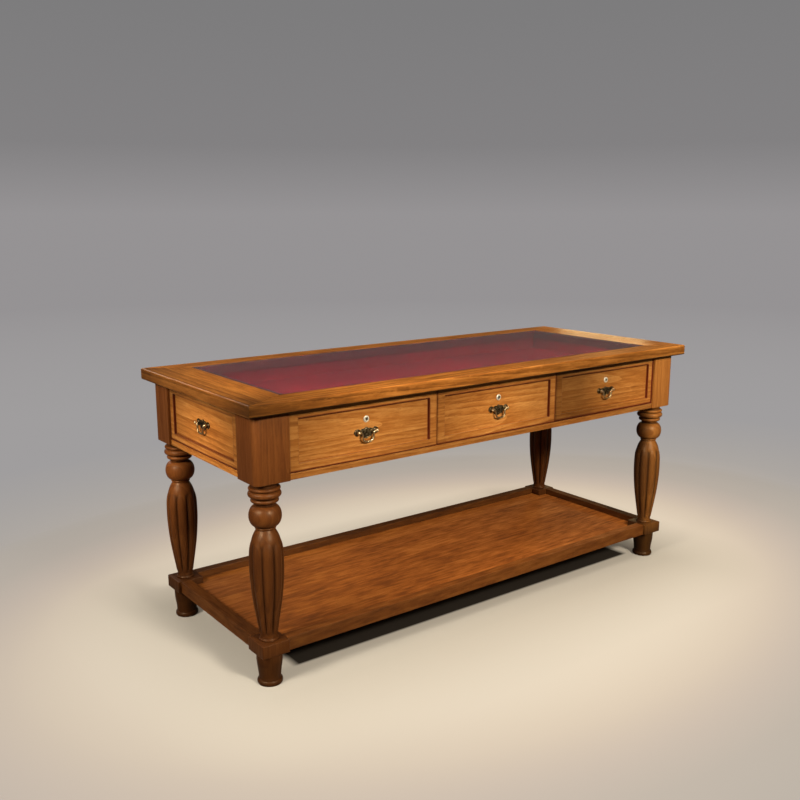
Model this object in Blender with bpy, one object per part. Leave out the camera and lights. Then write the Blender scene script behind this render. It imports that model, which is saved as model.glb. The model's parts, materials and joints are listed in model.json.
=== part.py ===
# Display table for jewellery: a glazed lift-up lid over a velvet-lined well, three locking drawers
# under it, four turned and reeded legs, and a tray shelf near the floor.
# Metres, +Z up, the drawers face -Y, and the floor is at Z = 0 under the middle of the table.
from math import acos, cos, pi, sin, tau

import bmesh
import bpy
from mathutils import Matrix, Vector

# Overall sizes
TOP_LENGTH = 2.000
TOP_WIDTH = 0.800
TABLE_HEIGHT = 0.910
LID_OVERHANG = 0.0305
APRON_HEIGHT = 0.214
SEAT_GAP = 0.0003

# Lid frame and glass
LID_THICKNESS = 0.039
LID_END_RAIL = 0.150
LID_LONG_RAIL = 0.090
LID_EDGE_EASE = 0.003
GLASS_THICKNESS = 0.008
GLASS_LEDGE = 0.012

# Rolled continuous hinge along the back of the lid
HINGE_END_MARGIN = 0.0325
HINGE_KNUCKLES = 17
HINGE_LEAF_WIDTH = 0.022
HINGE_LEAF_THICKNESS = 0.0015
HINGE_KNUCKLE_RADIUS = 0.004
HINGE_KNUCKLE_GAP = 0.0006
HINGE_ROLL_SIDES = 8
HINGE_ROLL_OPENING = pi / 6

# Legs: square post, turned column, square shelf block and turned foot
POST_SIDE = 0.117
POST_ROUND = 0.022
POST_ROUND_STEPS = 5
BLOCK_SIDE = 0.095
BLOCK_HEIGHT = 0.042
FOOT_HEIGHT = 0.104
FOOT_SHOULDER = 0.007
FOOT_WAIST_RADIUS = 0.0335
FOOT_RING_RADIUS = 0.0405
FOOT_RING_HEIGHT = 0.018
FOOT_RING_STEPS = 4
FOOT_COVE_HEIGHT = 0.009
FOOT_SWELL_SHARES = (0.0, 0.25, 0.5, 0.8, 1.0)
FOOT_SWELL_END = 0.8
COLLAR_HEIGHT = 0.014
COLLAR_RADIUS = 0.0265
VASE_NECK_RADIUS = 0.029
VASE_NECK_HEIGHT = 0.009
BALL_RADIUS = 0.0505
BALL_HEIGHT = 0.066
BALL_STEPS = 6
COVE_RADIUS = 0.032
COVE_HEIGHT = 0.009
SMALL_RING_RADIUS = 0.0430
SMALL_RING_HEIGHT = 0.014
SMALL_RING_STEPS = 3
LARGE_RING_RADIUS = 0.0510
LARGE_RING_HEIGHT = 0.036
LARGE_RING_STEPS = 4
LEG_NECK_RADIUS = 0.040
LEG_NECK_HEIGHT = 0.017

# Reeded vase of the leg: share of the vase's height against radius
VASE_OUTLINE = (
    (0.00, 0.0272),
    (0.09, 0.0316),
    (0.23, 0.0394),
    (0.36, 0.0461),
    (0.50, 0.0511),
    (0.69, 0.0535),
    (0.84, 0.0502),
    (0.93, 0.0412),
    (1.00, 0.0290),
)
VASE_RINGS = 11
REEDS = 8
REED_SIDES = 3
REED_GROOVE_DEPTH = 0.006
REED_CLOSING = 0.33
REED_FADE_LOW = (0.0, 0.10)
REED_FADE_HIGH = (0.80, 0.93)

# Shelf: rails between the leg blocks carry a sunk panel
SHELF_RAIL_WIDTH = 0.038
SHELF_RAIL_INSET = 0.010
SHELF_LEDGE_HEIGHT = 0.0057
SHELF_LEDGE_WIDTH = 0.012
SHELF_PANEL_THICKNESS = 0.012

# Carcase
BOTTOM_RAIL_HEIGHT = 0.020
BOTTOM_RAIL_DEPTH = 0.040
BACK_APRON_THICKNESS = 0.020
FRONT_SETBACK = 0.007
FRONT_THICKNESS = 0.022
LOCK_RAIL_THICKNESS = 0.012
DIVIDER_THICKNESS = 0.018
RUNNER_HEIGHT = 0.012
RUNNER_LEDGE = 0.014

# Display well
WELL_DEPTH = 0.046
WELL_WALL = 0.012
VELVET_THICKNESS = 0.004
DECK_THICKNESS = 0.012

# Drawers and end fronts
DRAWERS = 3
FRONT_GAP = 0.0025
POST_GAP = 0.002
FRONT_FOOT_GAP = 0.0015
FRONT_HEAD_GAP = 0.002
RECESS_SIDE = 0.032
RECESS_TOP = 0.0275
RECESS_BOTTOM = 0.025
RECESS_DEPTH = 0.007
BOX_BACK_SPACE = 0.1097
BOX_WALL = 0.012
BOX_SIDE_CLEARANCE = 0.001
BOX_HEADROOM = 0.008
BOX_SLIP_WIDTH = 0.008
BOX_SLIP_HEIGHT = 0.006
BOX_BOTTOM_THICKNESS = 0.005

# Drop handles: a shaped back plate with two posts, and a bail that hangs in them
PULL_DROP = 0.103
END_PULL_DROP = 0.090
PULL_POST_SPACING = 0.068
PULL_PLATE_THICKNESS = 0.0018
PULL_PIVOT_STANDOFF = 0.012
PULL_POST_RADIUS = 0.0042
PULL_STEM_FLARE = 1.3
PULL_STEM_TOP = 0.8
PULL_HEAD_RADIUS = 0.0058
PULL_HEAD_CAP = 0.42 * pi
PULL_HEAD_STEPS = 4
PULL_POST_SIDES = 8
PULL_WING_REACH = 0.013
PULL_WING_HEIGHT = 0.011
PULL_WING_SWEEP = 1.10 * pi
PULL_WING_STEPS = 6
PULL_PLATE_RISE = 0.0145
PULL_PLATE_FALL = 0.0200
PULL_BODY_WIDTH = 0.040
BAIL_PIN_RADIUS = 0.0016
BAIL_ROD_RADIUS = 0.0024
BAIL_WIDTH = 0.042
BAIL_FALL = 0.031
BAIL_NECK_FALL = 0.0031
BAIL_SIDES = 8
BAIL_STEPS = 7
BORE_CLEARANCE = 0.0003
BORE_SIDES = 8

# Shapes of the plate's crest and foot and of the bail's side, from the outside in:
# share of the half width against share of the rise or the fall
PULL_CREST_SHAPE = ((0.00, 1.00), (0.35, 0.78), (1.00, 0.62))
PULL_FOOT_SHAPE = ((1.00, 0.34), (0.78, 0.80), (0.40, 0.86), (0.00, 1.00))
BAIL_SIDE_SHAPE = ((1.00, 0.34), (0.96, 0.66), (0.72, 0.90), (0.00, 1.00))

# Cam locks
LOCK_DROP = 0.063
LOCK_FACE_RADIUS = 0.011
LOCK_FACE_THICKNESS = 0.0035
LOCK_FACE_EASE = 0.0015
LOCK_BARREL_RADIUS = 0.008
LOCK_PLUG_RADIUS = 0.0053
LOCK_PLUG_RECESS = 0.0006
LOCK_SIDES = 16
LOCK_RAIL_CLEARANCE = 0.003
KEYWAY_WIDTH = 0.0016
KEYWAY_HEIGHT = 0.0066
KEYWAY_DEPTH = 0.005
CAM_LENGTH = 0.030
CAM_WIDTH = 0.010
CAM_HUB_SWELL = 1.1
CAM_HUB_TURN = pi / 6
CAM_TIP_STEPS = 4
CAM_THICKNESS = 0.003
CAM_CLEARANCE = 0.0006
CAM_BACK_CLEARANCE = 0.002

# Levels and faces that follow from the sizes above
LID_BOTTOM = TABLE_HEIGHT - LID_THICKNESS
CASE_TOP = LID_BOTTOM - SEAT_GAP
APRON_BOTTOM = LID_BOTTOM - APRON_HEIGHT
RAIL_TOP = APRON_BOTTOM + BOTTOM_RAIL_HEIGHT
POST_FACE_X = TOP_LENGTH / 2 - LID_OVERHANG
POST_FACE_Y = TOP_WIDTH / 2 - LID_OVERHANG
POST_INNER_X = POST_FACE_X - POST_SIDE
POST_INNER_Y = POST_FACE_Y - POST_SIDE
LEG_X = POST_FACE_X - POST_SIDE / 2
LEG_Y = POST_FACE_Y - POST_SIDE / 2
BLOCK_TOP = FOOT_HEIGHT + BLOCK_HEIGHT
FOOT_TOP_RADIUS = BLOCK_SIDE / 2 - FOOT_SHOULDER
TURNING_SIDES = REEDS * REED_SIDES
SHELF_LEDGE_TOP = FOOT_HEIGHT + SHELF_LEDGE_HEIGHT
SHELF_PANEL_LOW = SHELF_LEDGE_TOP + SEAT_GAP
FRONT_FACE_Y = FRONT_SETBACK - POST_FACE_Y
FRONT_BACK_Y = FRONT_FACE_Y + FRONT_THICKNESS
RECESS_FACE_Y = FRONT_FACE_Y + RECESS_DEPTH
FRONT_LOW = RAIL_TOP + FRONT_FOOT_GAP
FRONT_HIGH = LID_BOTTOM - FRONT_HEAD_GAP
END_FACE_X = POST_FACE_X - FRONT_SETBACK
END_BACK_X = END_FACE_X - FRONT_THICKNESS
BACK_APRON_INNER_Y = POST_FACE_Y - BACK_APRON_THICKNESS
FRONT_WIDTH = (2 * POST_INNER_X - 2 * POST_GAP - (DRAWERS - 1) * FRONT_GAP) / DRAWERS
DRAWER_PITCH = FRONT_WIDTH + FRONT_GAP
LOCK_Z = FRONT_HIGH - LOCK_DROP
PULL_Z = FRONT_HIGH - PULL_DROP
END_PULL_Z = FRONT_HIGH - END_PULL_DROP
LOCK_RAIL_FRONT_Y = FRONT_BACK_Y + CAM_CLEARANCE
LOCK_RAIL_BACK_Y = LOCK_RAIL_FRONT_Y + LOCK_RAIL_THICKNESS
LOCK_RAIL_LOW = LOCK_Z + LOCK_BARREL_RADIUS + LOCK_RAIL_CLEARANCE
CAM_FRONT_Y = LOCK_RAIL_BACK_Y + CAM_CLEARANCE
CAM_BACK_Y = CAM_FRONT_Y + CAM_THICKNESS
DECK_FRONT_Y = CAM_BACK_Y + CAM_BACK_CLEARANCE
VELVET_TOP = LID_BOTTOM - WELL_DEPTH
VELVET_LOW = VELVET_TOP - VELVET_THICKNESS
DECK_TOP = VELVET_LOW - SEAT_GAP
DECK_LOW = DECK_TOP - DECK_THICKNESS
WELL_OUTER_X = POST_INNER_X - SEAT_GAP
WELL_INNER_X = WELL_OUTER_X - WELL_WALL
WELL_OUTER_Y = -DECK_FRONT_Y
WELL_INNER_Y = WELL_OUTER_Y - WELL_WALL
RUNNER_LOW = RAIL_TOP + SEAT_GAP
RUNNER_TOP = RUNNER_LOW + RUNNER_HEIGHT
RUNNER_FRONT_Y = LOCK_RAIL_FRONT_Y
RUNNER_BACK_Y = BACK_APRON_INNER_Y - SEAT_GAP
GUIDE_TOP = DECK_LOW - SEAT_GAP
BOX_LOW = RUNNER_TOP + SEAT_GAP
BOX_HIGH = DECK_LOW - BOX_HEADROOM
BOX_HALF_WIDTH = (DRAWER_PITCH - DIVIDER_THICKNESS) / 2 - BOX_SIDE_CLEARANCE
BOX_FRONT_Y = FRONT_BACK_Y + SEAT_GAP
BOX_BACK_Y = BACK_APRON_INNER_Y - BOX_BACK_SPACE
HINGE_LENGTH = 2 * (POST_INNER_X - HINGE_END_MARGIN)
HINGE_Y = POST_FACE_Y + SEAT_GAP + HINGE_KNUCKLE_RADIUS
HINGE_Z = LID_BOTTOM - SEAT_GAP - HINGE_KNUCKLE_RADIUS
HINGE_PIN_RADIUS = HINGE_KNUCKLE_RADIUS - HINGE_LEAF_THICKNESS - SEAT_GAP

# Finishes: colour, roughness, metallic
OAK = ("oak", (0.44, 0.23, 0.085), 0.42, 0.0)
OAK_DARK = ("oak_dark", (0.26, 0.125, 0.050), 0.40, 0.0)
OAK_SHELF = ("oak_shelf", (0.34, 0.145, 0.055), 0.38, 0.0)
OAK_PALE = ("oak_pale", (0.55, 0.36, 0.18), 0.60, 0.0)
VELVET = ("velvet", (0.24, 0.018, 0.035), 0.95, 0.0)
GLASS = ("glass", (0.72, 0.80, 0.76), 0.04, 0.0)
BRASS = ("brass", (0.42, 0.30, 0.13), 0.38, 1.0)
NICKEL = ("nickel", (0.72, 0.71, 0.68), 0.22, 1.0)
SMOOTH_ANGLE = pi / 5


def finish(recipe):
    name, colour, roughness, metallic = recipe
    known = bpy.data.materials.get(name)
    if known:
        return known
    material = bpy.data.materials.new(name)
    material.use_nodes = True
    shader = material.node_tree.nodes["Principled BSDF"]
    shader.inputs["Base Color"].default_value = (*colour, 1.0)
    shader.inputs["Roughness"].default_value = roughness
    shader.inputs["Metallic"].default_value = metallic
    return material


def mesh_from(bm, name):
    """Close off a shape: faces outward, round stretches smooth, edges sharp."""
    bmesh.ops.recalc_face_normals(bm, faces=bm.faces)
    mesh = bpy.data.meshes.new(name)
    bm.to_mesh(mesh)
    bm.free()
    mesh.shade_smooth()
    mesh.set_sharp_from_angle(angle=SMOOTH_ANGLE)
    return mesh


def put(name, mesh, recipe, origin=(0, 0, 0), turn=0.0, parent=None):
    """Stand a mesh in the scene; its own coordinates are taken from the given origin."""
    piece = bpy.data.objects.new(name, mesh)
    if not mesh.materials:
        mesh.materials.append(finish(recipe))
    bpy.context.scene.collection.objects.link(piece)
    piece.location = Vector(origin)
    piece.rotation_euler = (0.0, 0.0, turn)
    if parent:
        piece.parent = parent
        piece.location -= parent.location
    return piece


def pivot(name, place):
    """An empty on a joint's axis, which carries the pieces that move together."""
    empty = bpy.data.objects.new(name, None)
    empty.location = place
    bpy.context.scene.collection.objects.link(empty)
    return empty


def put_in_world(name, mesh, recipe, parent=None):
    """Stand a mesh drawn in world coordinates; its origin moves to the parent's place."""
    origin = parent.location.copy() if parent else Vector()
    mesh.transform(Matrix.Translation(-origin))
    return put(name, mesh, recipe, origin, parent=parent)


def prism(outline, axis, low, high):
    """Extrude a flat outline along an axis. Each end is a distance, or a rule of the outline's point."""
    order = {"X": (2, 0, 1), "Y": (0, 2, 1), "Z": (0, 1, 2)}[axis]
    bm = bmesh.new()
    ends = []
    for end in (low, high):
        reach = [end(a, b) if callable(end) else end for a, b in outline]
        points = [(a, b, along) for (a, b), along in zip(outline, reach)]
        ends.append([bm.verts.new([point[i] for i in order]) for point in points])
    bm.faces.new(ends[0])
    bm.faces.new(ends[1])
    for i, corner in enumerate(ends[0]):
        bm.faces.new((ends[0][i - 1], corner, ends[1][i], ends[1][i - 1]))
    return bm


def box(low, high):
    """A board between two corners."""
    (x0, y0, z0), (x1, y1, z1) = low, high
    return prism(((x0, y0), (x1, y0), (x1, y1), (x0, y1)), "Z", z0, z1)


def board(name, low, high, recipe, parent=None):
    return put_in_world(name, mesh_from(box(low, high), name), recipe, parent)


def ring_strip(bm, lower, upper):
    """Join two rings of as many vertices with a band of faces."""
    for i, vertex in enumerate(lower):
        bm.faces.new((lower[i - 1], vertex, upper[i], upper[i - 1]))


def fill_between(bm, outer, inner):
    """Fill a flat face that has a ring as its hole."""
    edges = []
    for loop in (outer, inner):
        for i, vertex in enumerate(loop):
            edges.append(bm.edges.get((loop[i - 1], vertex)) or bm.edges.new((loop[i - 1], vertex)))
    bmesh.ops.triangle_fill(bm, edges=edges, use_beauty=True)


def turned(profile, sides, closed):
    """Revolve (radius, height) points about Z; a closed profile makes a ring with a bore."""
    bm = bmesh.new()
    rings = []
    for radius, height in profile:
        turns = [tau * k / sides for k in range(sides)]
        rings.append([bm.verts.new((radius * cos(t), radius * sin(t), height)) for t in turns])
    for lower, upper in zip(rings, rings[1:]):
        ring_strip(bm, lower, upper)
    if closed:
        ring_strip(bm, rings[-1], rings[0])
    else:
        bm.faces.new(rings[0])
        bm.faces.new(rings[-1])
    return bm


def point_outward(bm, place):
    """Turn a shape drawn about Z so that its +Z looks along -Y, and move it to its place."""
    bm.transform(Matrix.Translation(place) @ Matrix.Rotation(pi / 2, 4, "X"))
    return bm


def lay_along_x(bm, place):
    """Turn a shape drawn about Z so that it lies along X, and move it to its place."""
    bm.transform(Matrix.Translation(place) @ Matrix.Rotation(pi / 2, 4, "Y"))
    return bm


def combined(base, tools, operation):
    """The mesh of a shape after a Boolean with each of the tools."""
    target = bpy.data.objects.new("target", mesh_from(base, "target"))
    bpy.context.scene.collection.objects.link(target)
    helpers = []
    for tool in tools:
        helper = bpy.data.objects.new("tool", mesh_from(tool, "tool"))
        bpy.context.scene.collection.objects.link(helper)
        helpers.append(helper)
        step = target.modifiers.new("Combine", "BOOLEAN")
        step.operation = operation
        step.solver = "EXACT"
        step.object = helper
    graph = bpy.context.evaluated_depsgraph_get()
    result = bmesh.new()
    result.from_object(target, graph)
    for helper in helpers + [target]:
        bpy.data.objects.remove(helper)
    return result


def smooth_through(points, share):
    """Catmull-Rom value at a share of the way between the first and last of (share, value) points."""
    last = len(points) - 2
    i = max(k for k in range(last + 1) if points[k][0] <= share or k == 0)
    before, here, there, after = (points[min(max(k, 0), last + 1)][1] for k in range(i - 1, i + 3))
    t = (share - points[i][0]) / (points[i + 1][0] - points[i][0])
    bend = 2 * before - 5 * here + 4 * there - after
    twist = 3 * (here - there) + after - before
    return here + t / 2 * (there - before + t * (bend + t * twist))


def smooth_step(low, high, value):
    t = min(max((value - low) / (high - low), 0.0), 1.0)
    return t * t * (3 - 2 * t)


def bead(low, height, foot_radius, radius, rings):
    """A half-round moulding of a turning: an ellipse that swells from its foot radius."""
    points = []
    for k in range(rings):
        t = pi * (k + 0.5) / rings
        points.append((low + height * (1 - cos(t)) / 2, foot_radius + (radius - foot_radius) * sin(t)))
    return points


def reed_share(share):
    """How fully the reeds are cut at a share of the vase's height: they run out at both ends."""
    return smooth_step(*REED_FADE_LOW, share) * (1 - smooth_step(*REED_FADE_HIGH, share))


def leg_ring(bm, height, radius, reeding=0.0):
    """One ring of the turning. A reed's first vertex lies in its groove, and the others close up to it."""
    ring = []
    for k in range(TURNING_SIDES):
        step = k % REED_SIDES
        turn = tau * k / TURNING_SIDES
        if step == 0:
            reach = radius - REED_GROOVE_DEPTH * reeding
        else:
            reach = radius
            turn += REED_CLOSING * reeding * (2 * step / REED_SIDES - 1)
        ring.append(bm.verts.new((reach * cos(turn), reach * sin(turn), height)))
    return ring


def square_loop(bm, side, height, rounding=0.0):
    """A square outline; its corner at -X -Y is rounded."""
    half = side / 2
    points = [(half, -half), (half, half), (-half, half)]
    if rounding:
        centre = rounding - half
        for k in range(POST_ROUND_STEPS + 1):
            turn = pi + pi / 2 * k / POST_ROUND_STEPS
            points.append((centre + rounding * cos(turn), centre + rounding * sin(turn)))
    else:
        points.append((-half, -half))
    return [bm.verts.new((x, y, height)) for x, y in points]


def foot_profile():
    """Height and radius of the foot: a ring on the floor, a cove, and a swell up to the shelf block."""
    ring = bead(0.0, FOOT_RING_HEIGHT, FOOT_WAIST_RADIUS, FOOT_RING_RADIUS, FOOT_RING_STEPS)
    points = [(0.0, ring[0][1])] + ring[1:]
    swell_low = FOOT_RING_HEIGHT + FOOT_COVE_HEIGHT
    swell = FOOT_TOP_RADIUS - FOOT_WAIST_RADIUS
    for share in FOOT_SWELL_SHARES:
        radius = FOOT_WAIST_RADIUS + swell * smooth_step(0.0, FOOT_SWELL_END, share)
        points.append((swell_low + (FOOT_HEIGHT - swell_low) * share, radius))
    return points


def column_profile():
    """Height, radius and reeding of the turning from the shelf block up to the post."""
    neck_low = APRON_BOTTOM - LEG_NECK_HEIGHT
    large_low = neck_low - LARGE_RING_HEIGHT
    small_low = large_low - SMALL_RING_HEIGHT
    ball_low = small_low - COVE_HEIGHT - BALL_HEIGHT
    vase_top = ball_low - VASE_NECK_HEIGHT
    vase_low = BLOCK_TOP + COLLAR_HEIGHT
    points = [(BLOCK_TOP, COLLAR_RADIUS, 0.0)]
    for k in range(VASE_RINGS + 1):
        share = k / VASE_RINGS
        height = vase_low + (vase_top - vase_low) * share
        points.append((height, smooth_through(VASE_OUTLINE, share), reed_share(share)))
    plain = [(ball_low, VASE_NECK_RADIUS)]
    plain += bead(ball_low, BALL_HEIGHT, VASE_NECK_RADIUS, BALL_RADIUS, BALL_STEPS)
    plain += [(small_low - COVE_HEIGHT / 2, COVE_RADIUS)]
    plain += bead(small_low, SMALL_RING_HEIGHT, COVE_RADIUS, SMALL_RING_RADIUS, SMALL_RING_STEPS)
    plain += bead(large_low, LARGE_RING_HEIGHT, LEG_NECK_RADIUS, LARGE_RING_RADIUS, LARGE_RING_STEPS)
    plain += [(neck_low, LEG_NECK_RADIUS), (APRON_BOTTOM, LEG_NECK_RADIUS)]
    return points + [(height, radius, 0.0) for height, radius in plain]


def leg_mesh():
    """One piece of timber: foot, shelf block, reeded column and post, about its own axis."""
    bm = bmesh.new()
    foot = [leg_ring(bm, height, radius) for height, radius in foot_profile()]
    bm.faces.new(foot[0])
    column = [leg_ring(bm, *point) for point in column_profile()]
    for rings in (foot, column):
        for lower, upper in zip(rings, rings[1:]):
            ring_strip(bm, lower, upper)
    block_low = square_loop(bm, BLOCK_SIDE, FOOT_HEIGHT)
    block_high = square_loop(bm, BLOCK_SIDE, BLOCK_TOP)
    post_low = square_loop(bm, POST_SIDE, APRON_BOTTOM, POST_ROUND)
    post_high = square_loop(bm, POST_SIDE, CASE_TOP, POST_ROUND)
    ring_strip(bm, block_low, block_high)
    ring_strip(bm, post_low, post_high)
    fill_between(bm, block_low, foot[-1])
    fill_between(bm, block_high, column[0])
    fill_between(bm, post_low, column[-1])
    bm.faces.new(post_high)
    return mesh_from(bm, "leg")


def make_legs():
    mesh = leg_mesh()
    corners = {
        "leg_front_left": (-LEG_X, -LEG_Y, 0.0),
        "leg_front_right": (LEG_X, -LEG_Y, pi / 2),
        "leg_back_right": (LEG_X, LEG_Y, pi),
        "leg_back_left": (-LEG_X, LEG_Y, -pi / 2),
    }
    for name, (x, y, turn) in corners.items():
        put(name, mesh, OAK_DARK, (x, y, 0.0), turn)


def notched_outline(end_x, side_low, side_high, notch_x, notch_y):
    """A board's plan with its four corners cut away round the legs."""
    return (
        (-end_x, -notch_y), (-notch_x, -notch_y), (-notch_x, side_low), (notch_x, side_low),
        (notch_x, -notch_y), (end_x, -notch_y), (end_x, notch_y), (notch_x, notch_y),
        (notch_x, side_high), (-notch_x, side_high), (-notch_x, notch_y), (-end_x, notch_y),
    )


def shelf_rail_outline(outer, side):
    """Section of a shelf rail: a full-height edge with a ledge for the panel on its inner side."""
    edge = outer - side * SHELF_RAIL_WIDTH
    ledge = edge - side * SHELF_LEDGE_WIDTH
    return (
        (outer, FOOT_HEIGHT), (outer, BLOCK_TOP), (edge, BLOCK_TOP),
        (edge, SHELF_LEDGE_TOP), (ledge, SHELF_LEDGE_TOP), (ledge, FOOT_HEIGHT),
    )


def make_shelf():
    rail_x = LEG_X - BLOCK_SIDE / 2 - SEAT_GAP
    rail_y = LEG_Y - BLOCK_SIDE / 2 - SEAT_GAP
    outer_x = LEG_X + BLOCK_SIDE / 2 - SHELF_RAIL_INSET
    outer_y = LEG_Y + BLOCK_SIDE / 2 - SHELF_RAIL_INSET
    for name, axis, side, outer, half in (
        ("shelf_rail_front", "X", -1, outer_y, rail_x),
        ("shelf_rail_back", "X", 1, outer_y, rail_x),
        ("shelf_rail_left", "Y", -1, outer_x, rail_y),
        ("shelf_rail_right", "Y", 1, outer_x, rail_y),
    ):
        outline = shelf_rail_outline(side * outer, side)
        put_in_world(name, mesh_from(prism(outline, axis, -half, half), name), OAK_SHELF)
    panel_x = outer_x - SHELF_RAIL_WIDTH - SEAT_GAP
    panel_y = outer_y - SHELF_RAIL_WIDTH - SEAT_GAP
    plan = notched_outline(panel_x, -panel_y, panel_y, rail_x, rail_y)
    bm = prism(plan, "Z", SHELF_PANEL_LOW, SHELF_PANEL_LOW + SHELF_PANEL_THICKNESS)
    put_in_world("shelf_panel", mesh_from(bm, "shelf_panel"), OAK_SHELF)


def make_carcase():
    between_x = POST_INNER_X - SEAT_GAP
    between_y = POST_INNER_Y - SEAT_GAP
    rail_back_y = FRONT_FACE_Y + BOTTOM_RAIL_DEPTH
    rail_in_x = END_FACE_X - BOTTOM_RAIL_DEPTH
    low, high = APRON_BOTTOM, RAIL_TOP
    board("bottom_rail_front", (-between_x, FRONT_FACE_Y, low), (between_x, rail_back_y, high), OAK)
    board("bottom_rail_left", (-END_FACE_X, -between_y, low), (-rail_in_x, between_y, high), OAK)
    board("bottom_rail_right", (rail_in_x, -between_y, low), (END_FACE_X, between_y, high), OAK)
    board("back_apron", (-between_x, BACK_APRON_INNER_Y, low), (between_x, POST_FACE_Y, CASE_TOP), OAK)
    board(
        "lock_rail",
        (-between_x, LOCK_RAIL_FRONT_Y, LOCK_RAIL_LOW),
        (between_x, LOCK_RAIL_BACK_Y, CASE_TOP),
        OAK_PALE,
    )


def make_runners():
    """Dividers between the drawers and guides beside the posts, each with ledges that carry a drawer."""
    web = DIVIDER_THICKNESS / 2
    foot = web + RUNNER_LEDGE
    for k in range(1, DRAWERS):
        x = (k - DRAWERS / 2) * DRAWER_PITCH
        section = (
            (x - foot, RUNNER_LOW), (x + foot, RUNNER_LOW), (x + foot, RUNNER_TOP), (x + web, RUNNER_TOP),
            (x + web, GUIDE_TOP), (x - web, GUIDE_TOP), (x - web, RUNNER_TOP), (x - foot, RUNNER_TOP),
        )
        name = f"drawer_divider_{k}"
        put_in_world(name, mesh_from(prism(section, "Y", RUNNER_FRONT_Y, RUNNER_BACK_Y), name), OAK_PALE)
    guide = DRAWERS / 2 * DRAWER_PITCH - web
    outer = POST_INNER_X - SEAT_GAP
    for name, side in (("drawer_runner_left", -1), ("drawer_runner_right", 1)):
        section = (
            (side * outer, RUNNER_LOW), (side * outer, GUIDE_TOP), (side * guide, GUIDE_TOP),
            (side * guide, RUNNER_TOP), (side * (guide - RUNNER_LEDGE), RUNNER_TOP),
            (side * (guide - RUNNER_LEDGE), RUNNER_LOW),
        )
        put_in_world(name, mesh_from(prism(section, "Y", RUNNER_FRONT_Y, RUNNER_BACK_Y), name), OAK_PALE)


def make_well():
    plan = notched_outline(
        END_BACK_X - SEAT_GAP, DECK_FRONT_Y, RUNNER_BACK_Y, POST_INNER_X - SEAT_GAP, POST_INNER_Y - SEAT_GAP
    )
    put_in_world("display_deck", mesh_from(prism(plan, "Z", DECK_LOW, DECK_TOP), "display_deck"), OAK_PALE)
    low, high = VELVET_LOW, CASE_TOP
    outer_x, inner_x = WELL_OUTER_X, WELL_INNER_X
    outer_y, inner_y = WELL_OUTER_Y, WELL_INNER_Y
    fit_x = inner_x - SEAT_GAP
    fit_y = inner_y - SEAT_GAP
    board("well_wall_left", (-outer_x, -outer_y, low), (-inner_x, outer_y, high), VELVET)
    board("well_wall_right", (inner_x, -outer_y, low), (outer_x, outer_y, high), VELVET)
    board("well_wall_front", (-fit_x, -outer_y, low), (fit_x, -inner_y, high), VELVET)
    board("well_wall_back", (-fit_x, inner_y, low), (fit_x, outer_y, high), VELVET)
    board("velvet_floor", (-fit_x, -fit_y, low), (fit_x, fit_y, VELVET_TOP), VELVET)


def lid_rail(name, axis, side, half_across, half_along, width, mitre_run, ledge, parent):
    """A lid rail: eased outer edges, a ledge for the glass, and ends mitred through the inner corner."""
    ease = LID_EDGE_EASE
    ledge_top = TABLE_HEIGHT - GLASS_THICKNESS - SEAT_GAP
    section = (
        (ease, LID_BOTTOM), (0.0, LID_BOTTOM + ease), (0.0, TABLE_HEIGHT - ease), (ease, TABLE_HEIGHT),
        (width, TABLE_HEIGHT), (width, ledge_top), (width + ledge, ledge_top), (width + ledge, LID_BOTTOM),
    )
    outline = [(side * (half_across - inward), z) for inward, z in section]

    def mitred_end(across, z):
        return half_along - mitre_run / width * (half_across - abs(across)) - SEAT_GAP

    bm = prism(outline, axis, lambda across, z: -mitred_end(across, z), mitred_end)
    put_in_world(name, mesh_from(bm, name), OAK, parent)


def make_lid():
    axis = pivot("lid_axis", (0.0, HINGE_Y, HINGE_Z))
    half_x, half_y = TOP_LENGTH / 2, TOP_WIDTH / 2
    for name, side in (("lid_rail_front", -1), ("lid_rail_back", 1)):
        lid_rail(name, "X", side, half_y, half_x, LID_LONG_RAIL, LID_END_RAIL, GLASS_LEDGE, axis)
    end_ledge = GLASS_LEDGE * LID_END_RAIL / LID_LONG_RAIL
    for name, side in (("lid_rail_left", -1), ("lid_rail_right", 1)):
        lid_rail(name, "Y", side, half_x, half_y, LID_END_RAIL, LID_LONG_RAIL, end_ledge, axis)
    glass_x = half_x - LID_END_RAIL - SEAT_GAP
    glass_y = half_y - LID_LONG_RAIL - SEAT_GAP
    glass_low = TABLE_HEIGHT - GLASS_THICKNESS
    board("lid_glass", (-glass_x, -glass_y, glass_low), (glass_x, glass_y, TABLE_HEIGHT), GLASS, axis)
    return axis


def rolled_section():
    """A hinge leaf's section from the pin's axis: a strip that runs down from a rolled knuckle."""
    outer = HINGE_KNUCKLE_RADIUS
    inner = outer - HINGE_LEAF_THICKNESS
    sweep = tau - HINGE_ROLL_OPENING * 2
    turns = [pi - sweep * k / HINGE_ROLL_SIDES for k in range(HINGE_ROLL_SIDES + 1)]
    roll = [(outer * cos(t), outer * sin(t)) for t in turns]
    roll += [(inner * cos(t), inner * sin(t)) for t in reversed(turns)]
    return roll


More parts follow.
